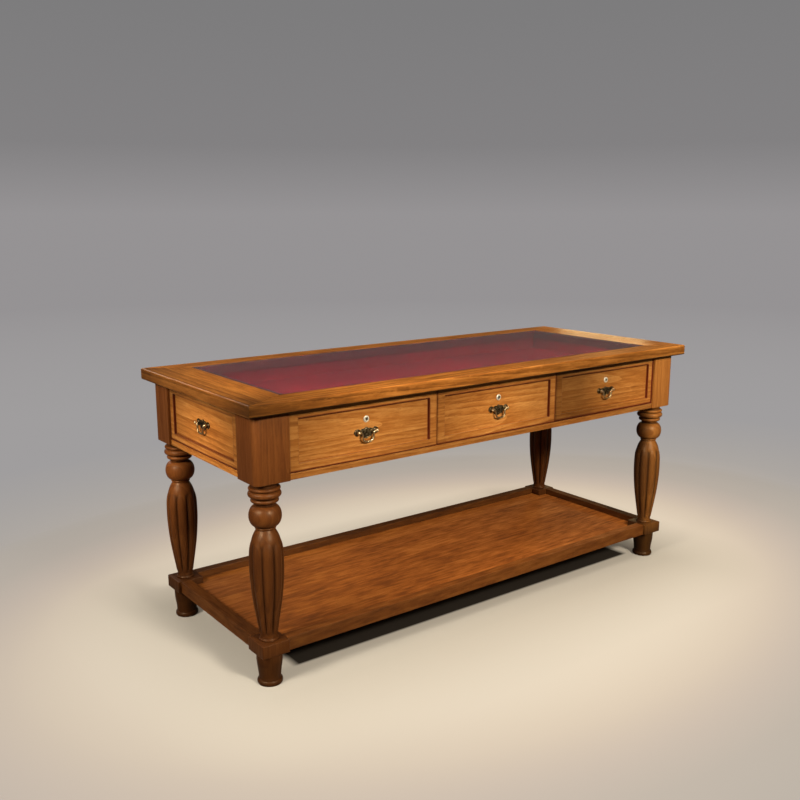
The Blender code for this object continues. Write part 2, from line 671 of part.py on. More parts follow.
def hinge_leaf(first_knuckle):
    """A leaf along X about the pin's axis, with every second knuckle; the strip hangs along -Z."""
    roll = rolled_section()
    outer = HINGE_KNUCKLE_RADIUS
    strip_top = -outer - HINGE_KNUCKLE_GAP
    strip_low = -HINGE_LEAF_WIDTH
    strip = ((-outer, strip_top), (-outer + HINGE_LEAF_THICKNESS, strip_top))
    foot = ((-outer, strip_low), (-outer + HINGE_LEAF_THICKNESS, strip_low))
    pitch = HINGE_LENGTH / HINGE_KNUCKLES
    bm = bmesh.new()

    def station(x, points):
        return [bm.verts.new((x, y, z)) for y, z in points]

    stations = []
    for k in range(HINGE_KNUCKLES):
        low = k * pitch - HINGE_LENGTH / 2
        gap = HINGE_KNUCKLE_GAP / 2
        if k % 2 == first_knuckle:
            stations += [(low + gap, True), (low + pitch - gap, False)]
    half = HINGE_LENGTH / 2
    if stations[0][0] > pitch - half:
        stations.insert(0, (-half, False))
    if stations[-1][0] < half - pitch:
        stations.append((half, False))
    ends = [(station(x, strip), station(x, foot)) for x, opens in stations]
    for (top_a, foot_a), (top_b, foot_b) in zip(ends, ends[1:]):
        bm.faces.new((top_a[0], foot_a[0], foot_b[0], top_b[0]))
        bm.faces.new((top_a[1], top_b[1], foot_b[1], foot_a[1]))
        bm.faces.new((foot_a[0], foot_a[1], foot_b[1], foot_b[0]))
    bm.faces.new((ends[0][0][0], ends[0][0][1], ends[0][1][1], ends[0][1][0]))
    bm.faces.new((ends[-1][0][0], ends[-1][1][0], ends[-1][1][1], ends[-1][0][1]))
    for i, (x, opens) in enumerate(stations[:-1]):
        top_a, top_b = ends[i][0], ends[i + 1][0]
        if not opens:
            bm.faces.new((top_a[0], top_b[0], top_b[1], top_a[1]))
            continue
        loop_a = [top_a[0]] + station(x, roll) + [top_a[1]]
        loop_b = [top_b[0]] + station(stations[i + 1][0], roll) + [top_b[1]]
        bm.faces.new(loop_a)
        bm.faces.new(loop_b)
        for a, b, c, d in zip(loop_a, loop_a[1:], loop_b[1:], loop_b):
            bm.faces.new((a, b, c, d))
    return bm


def make_hinge(lid_axis):
    place = Matrix.Translation(lid_axis.location)
    case_leaf = hinge_leaf(0)
    case_leaf.transform(place)
    put_in_world("hinge_case_leaf", mesh_from(case_leaf, "hinge_case_leaf"), BRASS)
    lid_leaf = hinge_leaf(1)
    lid_leaf.transform(place @ Matrix.Rotation(pi / 2, 4, "X") @ Matrix.Scale(-1.0, 4, (0, 1, 0)))
    put_in_world("hinge_lid_leaf", mesh_from(lid_leaf, "hinge_lid_leaf"), BRASS, lid_axis)
    half = HINGE_LENGTH / 2
    pin = turned(((HINGE_PIN_RADIUS, -half), (HINGE_PIN_RADIUS, half)), HINGE_ROLL_SIDES, False)
    put_in_world("hinge_pin", mesh_from(lay_along_x(pin, lid_axis.location), "hinge_pin"), BRASS)


def front_shape(half_width, low, high):
    """A front drawn about x = 0, as its board and the sunk field to cut from the board."""
    slab = box((-half_width, FRONT_FACE_Y, low), (half_width, FRONT_BACK_Y, high))
    field = box(
        (RECESS_SIDE - half_width, FRONT_FACE_Y - RECESS_DEPTH, low + RECESS_BOTTOM),
        (half_width - RECESS_SIDE, RECESS_FACE_Y, high - RECESS_TOP),
    )
    return slab, field


def make_end_fronts():
    """Fixed fronts that close the two ends of the case and match the drawers."""
    half_width = POST_INNER_Y - POST_GAP
    slab, field = front_shape(half_width, FRONT_LOW, FRONT_HIGH)
    mesh = mesh_from(combined(slab, [field], "DIFFERENCE"), "end_front")
    mesh.transform(Matrix.Translation((0.0, -FRONT_FACE_Y, 0.0)))
    put("end_front_left", mesh, OAK, (-END_FACE_X, 0.0, 0.0), -pi / 2)
    put("end_front_right", mesh, OAK, (END_FACE_X, 0.0, 0.0), pi / 2)


def drawer_front(name, parent):
    slab, field = front_shape(FRONT_WIDTH / 2, FRONT_LOW, FRONT_HIGH)
    bore_radius = LOCK_BARREL_RADIUS + BORE_CLEARANCE
    reach = FRONT_THICKNESS
    bore = turned(((bore_radius, -reach), (bore_radius, reach)), LOCK_SIDES, False)
    bore = point_outward(bore, (0.0, FRONT_BACK_Y, LOCK_Z))
    mesh = mesh_from(combined(slab, [field, bore], "DIFFERENCE"), name)
    mesh.transform(Matrix.Translation((parent.location.x, 0.0, 0.0)))
    put_in_world(name, mesh, OAK, parent)


def drawer_box(name, centre, parent):
    """Sides and back in one run: a wall with a slip along its foot that carries the bottom."""
    slip = BOX_WALL + BOX_SLIP_WIDTH
    slip_top = BOX_LOW + BOX_SLIP_HEIGHT
    section = (
        (0.0, BOX_LOW), (slip, BOX_LOW), (slip, slip_top),
        (BOX_WALL, slip_top), (BOX_WALL, BOX_HIGH), (0.0, BOX_HIGH),
    )
    bm = bmesh.new()
    stops = []
    for side, at_back in ((-1, False), (-1, True), (1, True), (1, False)):
        stop = []
        for inward, z in section:
            y = BOX_BACK_Y - inward if at_back else BOX_FRONT_Y
            stop.append(bm.verts.new((centre + side * (BOX_HALF_WIDTH - inward), y, z)))
        stops.append(stop)
    for lower, upper in zip(stops, stops[1:]):
        ring_strip(bm, lower, upper)
    bm.faces.new(stops[0])
    bm.faces.new(stops[-1])
    put_in_world(name, mesh_from(bm, name), OAK_PALE, parent)


def make_drawers():
    carriers = []
    for k in range(DRAWERS):
        number = k + 1
        centre = (k - (DRAWERS - 1) / 2) * DRAWER_PITCH
        slide = pivot(f"drawer_{number}_slide", (centre, FRONT_BACK_Y, (FRONT_LOW + FRONT_HIGH) / 2))
        drawer_front(f"drawer_{number}_front", slide)
        drawer_box(f"drawer_{number}_box", centre, slide)
        half = BOX_HALF_WIDTH - BOX_WALL - SEAT_GAP
        low = BOX_LOW + BOX_SLIP_HEIGHT + SEAT_GAP
        board(
            f"drawer_{number}_bottom",
            (centre - half, BOX_FRONT_Y, low),
            (centre + half, BOX_BACK_Y - BOX_WALL - SEAT_GAP, low + BOX_BOTTOM_THICKNESS),
            OAK_PALE,
            slide,
        )
        carriers.append(slide)
    return carriers


def plate_outline():
    """Bat-wing plate: round wings about the posts, and a body with a raised crest and a lobed foot."""
    wing_x = PULL_POST_SPACING / 2
    body = PULL_BODY_WIDTH / 2
    right = [(body * across, PULL_PLATE_RISE * up) for across, up in PULL_CREST_SHAPE]
    for k in range(PULL_WING_STEPS + 1):
        turn = PULL_WING_SWEEP * (0.5 - k / PULL_WING_STEPS)
        right.append((wing_x + PULL_WING_REACH * cos(turn), PULL_WING_HEIGHT * sin(turn)))
    right += [(body * across, -PULL_PLATE_FALL * down) for across, down in PULL_FOOT_SHAPE]
    left = [(-x, z) for x, z in reversed(right[1:-1])]
    return right + left


def post_profile():
    """A handle post from the plate outward: a waisted stem with a ball head on the bail's axis."""
    stem_low = PULL_PLATE_THICKNESS / 2 - PULL_PIVOT_STANDOFF
    half_open = acos(PULL_POST_RADIUS * PULL_STEM_TOP / PULL_HEAD_RADIUS)
    points = [
        (PULL_POST_RADIUS * PULL_STEM_FLARE, stem_low),
        (PULL_POST_RADIUS, (stem_low - PULL_HEAD_RADIUS) / 2),
    ]
    for k in range(PULL_HEAD_STEPS + 1):
        turn = (half_open + PULL_HEAD_CAP) * k / PULL_HEAD_STEPS - half_open
        points.append((PULL_HEAD_RADIUS * cos(turn), PULL_HEAD_RADIUS * sin(turn)))
    return points


def pull_plate_mesh():
    """Plate and posts in one casting, drawn about the bail's axis and facing -Y."""
    plate_back = PULL_PIVOT_STANDOFF - SEAT_GAP
    plate = prism(plate_outline(), "Y", plate_back - PULL_PLATE_THICKNESS, plate_back)
    posts = []
    for side in (-1, 1):
        post = turned(post_profile(), PULL_POST_SIDES, False)
        posts.append(point_outward(post, (side * PULL_POST_SPACING / 2, 0.0, 0.0)))
    casting = combined(plate, posts, "UNION")
    bore_radius = BAIL_PIN_RADIUS + BORE_CLEARANCE
    reach = PULL_POST_SPACING
    bore = turned(((bore_radius, -reach), (bore_radius, reach)), BORE_SIDES, False)
    return mesh_from(combined(casting, [lay_along_x(bore, (0.0, 0.0, 0.0))], "DIFFERENCE"), "pull_plate")


def bail_path():
    """Half of the bail from its pin inward and down to the middle, as (x, z, radius)."""
    head = PULL_POST_SPACING / 2
    shoulder = head - PULL_HEAD_RADIUS - BORE_CLEARANCE
    bend = shoulder - BAIL_ROD_RADIUS
    half = BAIL_WIDTH / 2
    guide = [(bend, 0.0), ((bend + half) / 2, -BAIL_NECK_FALL)]
    guide += [(half * across, -BAIL_FALL * down) for across, down in BAIL_SIDE_SHAPE]
    last = len(guide) - 1
    xs = [(i / last, x) for i, (x, z) in enumerate(guide)]
    zs = [(i / last, z) for i, (x, z) in enumerate(guide)]
    path = [(head + PULL_HEAD_RADIUS / 2, 0.0, BAIL_PIN_RADIUS), (shoulder, 0.0, BAIL_PIN_RADIUS)]
    path.append((shoulder, 0.0, BAIL_ROD_RADIUS))
    for k in range(BAIL_STEPS + 1):
        share = k / BAIL_STEPS
        path.append((smooth_through(xs, share), smooth_through(zs, share), BAIL_ROD_RADIUS))
    return path


def bail_mesh():
    """A round rod bent in the plane of the plate, with thinner pins at its ends."""
    half = bail_path()
    path = half + [(-x, z, radius) for x, z, radius in reversed(half[:-1])]
    bm = bmesh.new()
    rings = []
    for i, (x, z, radius) in enumerate(path):
        before = path[max(i - 1, 0)]
        after = path[min(i + 1, len(path) - 1)]
        along = Vector((after[0] - before[0], 0.0, after[1] - before[1])).normalized()
        across = Vector((-along.z, 0.0, along.x))
        ring = []
        for k in range(BAIL_SIDES):
            turn = tau * (k + 0.5) / BAIL_SIDES
            offset = radius * (cos(turn) * across + sin(turn) * Vector((0.0, 1.0, 0.0)))
            ring.append(bm.verts.new(Vector((x, 0.0, z)) + offset))
        rings.append(ring)
    for lower, upper in zip(rings, rings[1:]):
        ring_strip(bm, lower, upper)
    bm.faces.new(rings[0])
    bm.faces.new(rings[-1])
    return mesh_from(bm, "bail")


def make_pulls(carriers):
    plate = pull_plate_mesh()
    bail = bail_mesh()
    front_y = RECESS_FACE_Y - PULL_PIVOT_STANDOFF
    end_x = END_FACE_X - RECESS_DEPTH + PULL_PIVOT_STANDOFF
    places = [(str(k + 1), (c.location.x, front_y, PULL_Z), 0.0, c) for k, c in enumerate(carriers)]
    places.append(("left", (-end_x, 0.0, END_PULL_Z), -pi / 2, None))
    places.append(("right", (end_x, 0.0, END_PULL_Z), pi / 2, None))
    for label, place, turn, carrier in places:
        put(f"pull_plate_{label}", plate, BRASS, place, turn, carrier)
        put(f"pull_bail_{label}", bail, BRASS, place, turn, carrier)


def lock_barrel_mesh():
    """Lock case with a round face, drawn about +Z outward from the drawer's sunk field."""
    bore = LOCK_PLUG_RADIUS + BORE_CLEARANCE
    back = RECESS_FACE_Y - CAM_FRONT_Y + SEAT_GAP
    face = LOCK_FACE_THICKNESS
    profile = (
        (bore, face), (LOCK_FACE_RADIUS - LOCK_FACE_EASE, face),
        (LOCK_FACE_RADIUS, face - LOCK_FACE_EASE), (LOCK_FACE_RADIUS, SEAT_GAP),
        (LOCK_BARREL_RADIUS, SEAT_GAP), (LOCK_BARREL_RADIUS, back), (bore, back),
    )
    return mesh_from(point_outward(turned(profile, LOCK_SIDES, True), (0.0, 0.0, 0.0)), "lock_barrel")


def lock_plug_mesh():
    """Plug with its keyway, and the cam fixed behind it, which lies along +X while unlocked."""
    back = RECESS_FACE_Y - CAM_BACK_Y
    face = LOCK_FACE_THICKNESS - LOCK_PLUG_RECESS
    plug = turned(((LOCK_PLUG_RADIUS, face), (LOCK_PLUG_RADIUS, back)), LOCK_SIDES, False)
    half = CAM_WIDTH / 2
    tip = CAM_LENGTH - half
    hub_x, hub_y = half * cos(CAM_HUB_TURN), half * sin(CAM_HUB_TURN)
    tip_turns = [pi * k / CAM_TIP_STEPS for k in range(CAM_TIP_STEPS + 1)]
    outline = [(-hub_x, hub_y), (0.0, half * CAM_HUB_SWELL)]
    outline += [(tip + half * sin(turn), half * cos(turn)) for turn in tip_turns]
    outline += [(0.0, -half * CAM_HUB_SWELL), (-hub_x, -hub_y)]
    cam = prism(outline, "Z", back, back + CAM_THICKNESS)
    keyway = box(
        (-KEYWAY_WIDTH / 2, -KEYWAY_HEIGHT / 2, face - KEYWAY_DEPTH),
        (KEYWAY_WIDTH / 2, KEYWAY_HEIGHT / 2, face + KEYWAY_DEPTH),
    )
    shape = combined(combined(plug, [cam], "UNION"), [keyway], "DIFFERENCE")
    return mesh_from(point_outward(shape, (0.0, 0.0, 0.0)), "lock_plug")


def make_locks(carriers):
    barrel = lock_barrel_mesh()
    plug = lock_plug_mesh()
    for k, carrier in enumerate(carriers):
        place = (carrier.location.x, RECESS_FACE_Y, LOCK_Z)
        put(f"lock_barrel_{k + 1}", barrel, NICKEL, place, parent=carrier)
        put(f"lock_plug_{k + 1}", plug, NICKEL, place, parent=carrier)


def build():
    for old in list(bpy.data.objects):
        bpy.data.objects.remove(old)
    make_legs()
    make_shelf()
    make_carcase()
    make_runners()
    make_well()
    lid_axis = make_lid()
    make_hinge(lid_axis)
    make_end_fronts()
    carriers = make_drawers()
    make_pulls(carriers)
    make_locks(carriers)


build()
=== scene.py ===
import json
import math
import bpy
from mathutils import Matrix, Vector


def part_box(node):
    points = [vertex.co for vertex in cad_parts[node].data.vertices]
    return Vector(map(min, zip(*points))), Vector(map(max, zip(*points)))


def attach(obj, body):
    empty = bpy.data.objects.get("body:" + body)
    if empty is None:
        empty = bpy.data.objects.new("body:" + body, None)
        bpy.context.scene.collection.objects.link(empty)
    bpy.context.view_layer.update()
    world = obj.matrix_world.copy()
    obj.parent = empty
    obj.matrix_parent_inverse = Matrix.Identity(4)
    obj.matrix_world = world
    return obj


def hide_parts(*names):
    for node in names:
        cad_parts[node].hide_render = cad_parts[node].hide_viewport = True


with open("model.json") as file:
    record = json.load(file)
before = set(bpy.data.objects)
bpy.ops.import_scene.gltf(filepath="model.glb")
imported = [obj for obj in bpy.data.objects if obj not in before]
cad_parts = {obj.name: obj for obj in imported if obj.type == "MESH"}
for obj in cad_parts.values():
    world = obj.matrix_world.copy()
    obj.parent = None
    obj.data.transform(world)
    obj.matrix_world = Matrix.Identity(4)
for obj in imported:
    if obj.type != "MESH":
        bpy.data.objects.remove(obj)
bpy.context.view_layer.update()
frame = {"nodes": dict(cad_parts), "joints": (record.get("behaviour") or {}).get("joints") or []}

from types import SimpleNamespace as Names

import bmesh
import bpy
import numpy as np
from mathutils import Euler, Matrix, Vector

nodes = frame["nodes"]
jointAt = {j["name"]: Vector(j["pos_m"]) for j in frame["joints"] if "pos_m" in j}
rng = np.random.default_rng(7)  # only picks where each board lay in its log


# Mesh helpers; a function takes its dictionary of values as names, s or look

def addObject(name, data):
    made = bpy.data.objects.new(name, data)
    bpy.context.scene.collection.objects.link(made)
    return made


# Points from their coordinates.
def joined(*coordinates):
    return np.stack(coordinates, -1)


# Quads of a grid of points, row by row; a closed row runs on to its first point.
def gridQuads(rows, cols, closed):
    r = np.arange(rows - 1)[:, None]
    c = np.arange(cols if closed else cols - 1)[None, :]
    near = r * cols + c
    far = r * cols + (c + 1) % cols
    return joined(near, far, far + cols, near + cols).reshape(-1, 4)


# One mesh from several grids; doubles at poles and seams are merged and faces turned outwards.
def addPiece(name, grids, material, body, stands, sharp, patina=None):
    quads, start = [], 0
    for points, closed in grids:
        quads.append(gridQuads(points.shape[0], points.shape[1], closed) + start)
        start += points.shape[0] * points.shape[1]
    mesh = bpy.data.meshes.new(name)
    allPoints = np.concatenate([points.reshape(-1, 3) for points, closed in grids])
    mesh.from_pydata(allPoints.tolist(), [], np.concatenate(quads).tolist())
    if patina is not None:
        layer = mesh.attributes.new("patina", "FLOAT", "POINT")
        layer.data.foreach_set("value", patina.astype(np.float32).ravel())
    bm = bmesh.new()
    bm.from_mesh(mesh)
    bmesh.ops.remove_doubles(bm, verts=bm.verts[:], dist=2e-6)
    bmesh.ops.dissolve_degenerate(bm, edges=bm.edges[:], dist=1e-7)
    bmesh.ops.recalc_face_normals(bm, faces=bm.faces[:])
    bm.to_mesh(mesh)
    bm.free()
    mesh.shade_smooth()
    mesh.set_sharp_from_angle(angle=math.radians(sharp))
    mesh.materials.append(material)
    piece = addObject(name, mesh)
    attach(piece, body)
    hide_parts(*stands)
    return piece


# Points turned about Z by an angle and moved to a place.
def placed(points, place, turn=0.0):
    c, s = math.cos(turn), math.sin(turn)
    x, y, z = points[..., 0], points[..., 1], points[..., 2]
    return joined(c * x - s * y, s * x + c * y, z) + np.array(place)


# A shape drawn about +Z laid down so that its +Z looks along -Y.
def facingFront(points):
    return joined(points[..., 0], -points[..., 2], points[..., 1])


# Lathe: every (radius, height) of a profile carried once round Z.
def lathe(profile, sides):
    turn = np.linspace(0.0, 2 * math.pi, sides, endpoint=False)
    radius, height = np.asarray(profile, float).T
    level = np.broadcast_to(height[:, None], (len(height), sides))
    return joined(radius[:, None] * np.cos(turn), radius[:, None] * np.sin(turn), level)


# Cubic through knots, with each knot's slope taken from its neighbours.
def smoothCurve(knots, values, at):
    knots, values = np.asarray(knots, float), np.asarray(values, float)
    slopes = np.gradient(values, knots)
    i = np.clip(np.searchsorted(knots, at, side="right") - 1, 0, len(knots) - 2)
    span = knots[i + 1] - knots[i]
    t = (at - knots[i]) / span
    first = (1 + 2 * t) * (1 - t) ** 2 * values[i] + t * (1 - t) ** 2 * span * slopes[i]
    return first + t**2 * (3 - 2 * t) * values[i + 1] + t**2 * (t - 1) * span * slopes[i + 1]


def smoothStep(low, high, value):
    t = np.clip((value - low) / (high - low), 0.0, 1.0)
    return t * t * (3 - 2 * t)


# Corners of a (radius, height) profile rounded by quarter-like arcs of the given radii.
def eased(profile, radii, steps=5):
    points = np.asarray(profile, float)
    out = [points[:1]]
    for before, here, after, radius in zip(points, points[1:], points[2:], radii):
        if radius <= 0:
            out.append(here[None])
            continue
        a, b = before - here, after - here
        a, b = a / np.linalg.norm(a), b / np.linalg.norm(b)
        t = np.linspace(0.0, 1.0, steps)[:, None]
        out.append(here + radius * ((1 - t) ** 2 * a + t**2 * b))
    out.append(points[-1:])
    return np.concatenate(out)


# Half-ellipse moulding: height by one minus cosine, radius swelling by sine from its foot.
def beadRows(low, height, foot, swell, count, start=0.0):
    t = np.linspace(start * math.pi, math.pi, count)
    rise = (math.cos(start * math.pi) - np.cos(t)) / (math.cos(start * math.pi) + 1)
    return joined(foot + (swell - foot) * np.sin(t), low + height * rise)


# Material helpers; a new node joins the tree of a socket it takes, or the given tree

def isSocket(value):
    return isinstance(value, bpy.types.NodeSocket)


def plug(socket, value):
    if isSocket(value):
        socket.id_data.links.new(value, socket)
    else:
        socket.default_value = value


def addNode(kind, inputs, tree=None, **settings):
    if tree is None:
        tree = next(value.id_data for value in inputs.values() if isSocket(value))
    node = tree.nodes.new("ShaderNode" + kind)
    for key, value in settings.items():
        setattr(node, key, value)
    for key, value in inputs.items():
        plug(node.inputs[key], value)
    return node.outputs


def calc(operation, a, b=0.0, c=0.0):
    return addNode("Math", {0: a, 1: b, 2: c}, operation=operation)[0]


def times(a, b):
    return calc("MULTIPLY", a, b)


def spread(value, low, high, outLow=0.0, outHigh=1.0):
    inputs = {"Value": value, "From Min": low, "From Max": high, "To Min": outLow, "To Max": outHigh}
    return addNode("MapRange", inputs, clamp=True)["Result"]


def blend(factor, a, b, mode="MIX"):
    a = (*a, 1.0) if isinstance(a, tuple) else a
    b = (*b, 1.0) if isinstance(b, tuple) else b
    return addNode("Mix", {0: factor, 6: a, 7: b}, data_type="RGBA", blend_type=mode)[2]


def within(value, half):
    return calc("LESS_THAN", calc("ABSOLUTE", value), half)


def objectPlace(tree):
    return addNode("TexCoord", {}, tree)["Object"]


def axesOf(vector):
    return addNode("SeparateXYZ", {0: vector})


def stretched(vector, scale):
    return addNode("VectorMath", {0: vector, 1: scale}, operation="MULTIPLY")[0]


def noise(vector, scale, detail=2.0, roughness=0.55):
    if isinstance(scale, tuple):
        vector, scale = stretched(vector, scale), 1.0
    inputs = {"Vector": vector, "Scale": scale, "Detail": detail, "Roughness": roughness}
    return addNode("TexNoise", inputs)["Fac"]


def ramp(factor, stops, curve="LINEAR"):
    outputs = addNode("ValToRGB", {"Fac": factor})
    colours = outputs[0].node.color_ramp
    colours.interpolation = curve
    elements = colours.elements
    while len(elements) < len(stops):
        elements.new(0.5)
    for element, (position, colour) in zip(elements, stops):
        element.position = position
        element.color = (*colour, 1.0)
    return outputs["Color"]


def addBump(shader, strength, distance, height):
    inputs = {"Strength": strength, "Distance": distance, "Height": height}
    plug(shader.inputs["Normal"], addNode("Bump", inputs)[0])


def mixShaders(factor, a, b):
    return addNode("MixShader", {0: factor, 1: a, 2: b})[0]


def newMaterial(name, **sockets):
    material = bpy.data.materials.new(name)
    material.use_nodes = True
    shader = material.node_tree.nodes["Principled BSDF"]
    for key, value in sockets.items():
        socket = shader.inputs[key.replace("_", " ")]
        socket.default_value = (*value, 1.0) if isinstance(value, tuple) else value
    return material, material.node_tree, shader


noiseBand = (0.3, 0.7)  # most of a noise lies in it


# Timber: rings round a heart that lies along the grain, broken streaks, open pores and a slow drift of tone.
plainLook = {  # what a look below leaves out
    "specular": 0.32, "specularTint": (1.0, 0.8, 0.52), "coatRoughness": 0.3, "tilt": 0.035,
    "rings": 0.34, "ringStretch": (0.1, 1.0, 1.0), "ringScale": 0.314, "ringDistortion": 3.2,
    "streaks": 0.36, "streakSize": (14.0, 165.0, 165.0), "drift": (1.6, 6.0, 6.0), "driftShare": 0.3,
    "fibreSize": (46.0, 1050.0, 1050.0), "poreShare": 0.55, "fleckSize": (34.0, 105.0, 105.0),
    "fleckShare": 0.32, "staveShare": 0.22, "staveShift": 3.7, "wornShare": 0.82,
    "stops": (0.12, 0.48, 0.86), "poreBand": (0.56, 0.7), "fleckBand": (0.6, 0.72),
    "poreDepth": 0.6, "streakRise": 0.35, "bump": (0.35, 0.0005),
}
timberLooks = {
    "case": {
        "dark": (0.2, 0.058, 0.0085), "mid": (0.375, 0.13, 0.022), "light": (0.55, 0.236, 0.056),
        "pitch": 0.012, "gloss": (0.33, 0.46), "coat": 0.04,
    },
    "lid": {
        "dark": (0.09, 0.027, 0.0045), "mid": (0.255, 0.084, 0.0125), "light": (0.46, 0.174, 0.032),
        "pitch": 0.015, "gloss": (0.34, 0.46), "coat": 0.03,
        "rings": 0.3, "streaks": 0.4, "streakSize": (11.0, 130.0, 130.0),
    },
    "leg": {
        "dark": (0.13, 0.035, 0.0072), "mid": (0.19, 0.055, 0.0112), "light": (0.258, 0.0825, 0.0182),
        "pitch": 0.013, "gloss": (0.36, 0.5), "coat": 0.02, "specular": 0.22,
    },
    "shelf": {
        "dark": (0.13, 0.033, 0.0046), "mid": (0.255, 0.0715, 0.01), "light": (0.375, 0.124, 0.021),
        "pitch": 0.016, "gloss": (0.5, 0.64), "coat": 0.0,
        "rings": 0.08, "streaks": 0.56, "streakSize": (12.0, 74.0, 74.0), "drift": (4.0, 8.0, 8.0),
    },
    "inside": {
        "dark": (0.34, 0.185, 0.08), "mid": (0.5, 0.315, 0.15), "light": (0.6, 0.405, 0.215),
        "pitch": 0.01, "gloss": (0.5, 0.65), "coat": 0.0, "rings": 0.4, "streaks": 0.3,
    },
}
timberLooks["lidEnd"] = {**timberLooks["lid"], "gloss": (0.24, 0.34)}
timberLooks["lidFront"] = {**timberLooks["lid"], "gloss": (0.44, 0.56), "coat": 0.0, "specular": 0.12}
# dark of patina in the hollows, also used for the painted shade on one side of each leg
patinaAndShadeTone = (0.022, 0.0075, 0.003)
# dark red of the glaze lines, which also stand for painted shade
glazeAndShadeTone = (0.105, 0.011, 0.0042)
liningTone = (0.075, 0.0065, 0.011)
grainTurns = {
    "X": Matrix.Identity(3),
    "Y": Matrix.Rotation(-math.pi / 2, 3, "Z"),
    "Z": Matrix.Rotation(math.pi / 2, 3, "Y"),
}


def timber(name, lookName, grain, heart, tone=1.0, stave=0.0, field=None, fades=(), lining=None, ends=None):
    look = Names(**{**plainLook, **timberLooks[lookName]})
    material, tree, shader = newMaterial(
        name, Coat_Weight=look.coat, Coat_Roughness=look.coatRoughness,
        Specular_IOR_Level=look.specular, Specular_Tint=look.specularTint,
    )
    place = objectPlace(tree)
    lean = look.tilt
    tilt = Euler((0.0, rng.uniform(-lean, lean), rng.uniform(-lean, lean))).to_matrix()
    turn = tilt @ grainTurns[grain]
    inputs = {"Vector": place, "Location": -(turn @ Vector(heart)), "Rotation": turn.to_euler()}
    inLog = addNode("Mapping", inputs)[0]
    if ends:  # the boards across a box, beyond a reach from its middle, have their grain along X
        along = calc("SUBTRACT", axesOf(place)["Y"], ends[0])
        atEnd = calc("GREATER_THAN", calc("ABSOLUTE", along), ends[1])
        crossLog = addNode("Mapping", {"Vector": place, "Location": -Vector(heart)})[0]
        inLog = addNode("Mix", {0: atEnd, 4: inLog, 5: crossLog}, data_type="VECTOR")[1]
    if stave:  # glued staves: each strip across the grain is shifted along it and has its own tone
        across = axesOf(inLog)["Y"]
        strip = calc("FLOOR", calc("DIVIDE", across, stave))
        staveTone = addNode("TexWhiteNoise", {"W": strip}, noise_dimensions="1D")["Value"]
        shift = times(staveTone, look.staveShift)
        shift = addNode("CombineXYZ", {"X": shift})[0]
        inLog = addNode("VectorMath", {0: inLog, 1: shift}, operation="ADD")[0]
    ringInputs = {
        "Vector": stretched(inLog, look.ringStretch), "Scale": look.ringScale / look.pitch,
        "Distortion": look.ringDistortion, "Detail": 2.0, "Detail Scale": 0.45, "Detail Roughness": 0.6,
    }
    ringKind = {"wave_type": "RINGS", "rings_direction": "X", "wave_profile": "SAW"}
    rings = addNode("TexWave", ringInputs, **ringKind)["Fac"]
    streaks = spread(noise(inLog, look.streakSize, 3.0), *noiseBand)
    fibres = noise(inLog, look.fibreSize, 1.0)
    drift = spread(noise(inLog, look.drift), *noiseBand)
    figure = times(streaks, look.streaks)
    figure = calc("MULTIPLY_ADD", rings, look.rings, figure)
    figure = calc("MULTIPLY_ADD", drift, look.driftShare, figure)
    if stave:
        apart = calc("SUBTRACT", staveTone, 0.5)
        figure = calc("MULTIPLY_ADD", apart, look.staveShare, figure)
    stops = zip(look.stops, (look.dark, look.mid, look.light))
    # the piece's tone scales its colours; it is partly painted light and shade
    stops = [(at, tuple(np.multiply(tone, colour))) for at, colour in stops]
    colour = ramp(figure, stops)
    pores = spread(fibres, *look.poreBand, 0.0, look.poreShare)
    colour = blend(pores, colour, stops[0][1])
    flecks = spread(noise(inLog, look.fleckSize), *look.fleckBand, 0.0, look.fleckShare)
    colour = blend(flecks, colour, stops[2][1])
    if field:  # dark glaze in the corners of the sunk field and along the outer arris, side by side; each side's strength is painted shade, strongest where a wall lies in shade
        axes = axesOf(place)
        for rim in field["rims"]:
            a = calc("SUBTRACT", axes[field["axis"]], rim["centre"][0])
            b = calc("SUBTRACT", axes["Z"], rim["centre"][1])
            for way, (here, other, k) in enumerate(((a, b, 0), (a, b, 0), (b, a, 1), (b, a, 1))):
                off = calc("ABSOLUTE", calc("ADD", here, rim["half"][k] * (-1) ** way))
                line = spread(off, rim["width"] * 0.35, rim["width"], rim["sides"][way], 0.0)
                line = times(line, within(other, rim["half"][1 - k] + 0.001))
                colour = blend(line, colour, glazeAndShadeTone)
    for axis, low, high, keptLow, keptHigh in fades:  # painted light and shade: share of the tone kept at two places along an axis
        along = axesOf(place)[axis]
        kept = spread(along, low, high, keptLow, keptHigh)
        tint = addNode("CombineColor", {0: kept, 1: kept, 2: kept})[0]
        colour = blend(1.0, colour, tint, "MULTIPLY")
    if lining:  # the ledge under the glass is lined in the velvet's colour
        axes = axesOf(place)
        inX, inY = within(axes["X"], lining[0]), within(axes["Y"], lining[1])
        colour = blend(times(inX, inY), colour, liningTone)
    # patina in the hollows, and on the legs painted shade on one side
    wearAndShade = addNode("Attribute", {}, tree, attribute_name="patina")["Fac"]
    colour = blend(times(wearAndShade, look.wornShare), colour, patinaAndShadeTone)
    plug(shader.inputs["Base Color"], colour)
    plug(shader.inputs["Roughness"], spread(figure, 0.2, 0.8, *look.gloss[::-1]))
    relief = calc("MULTIPLY_ADD", pores, -look.poreDepth, times(streaks, look.streakRise))
    addBump(shader, *look.bump, relief)
    return material


metalLook = {"cloudScale": 140.0, "gritScale": 1600.0, "dirtRoughness": 0.22, "bump": (0.25, 0.0002)}


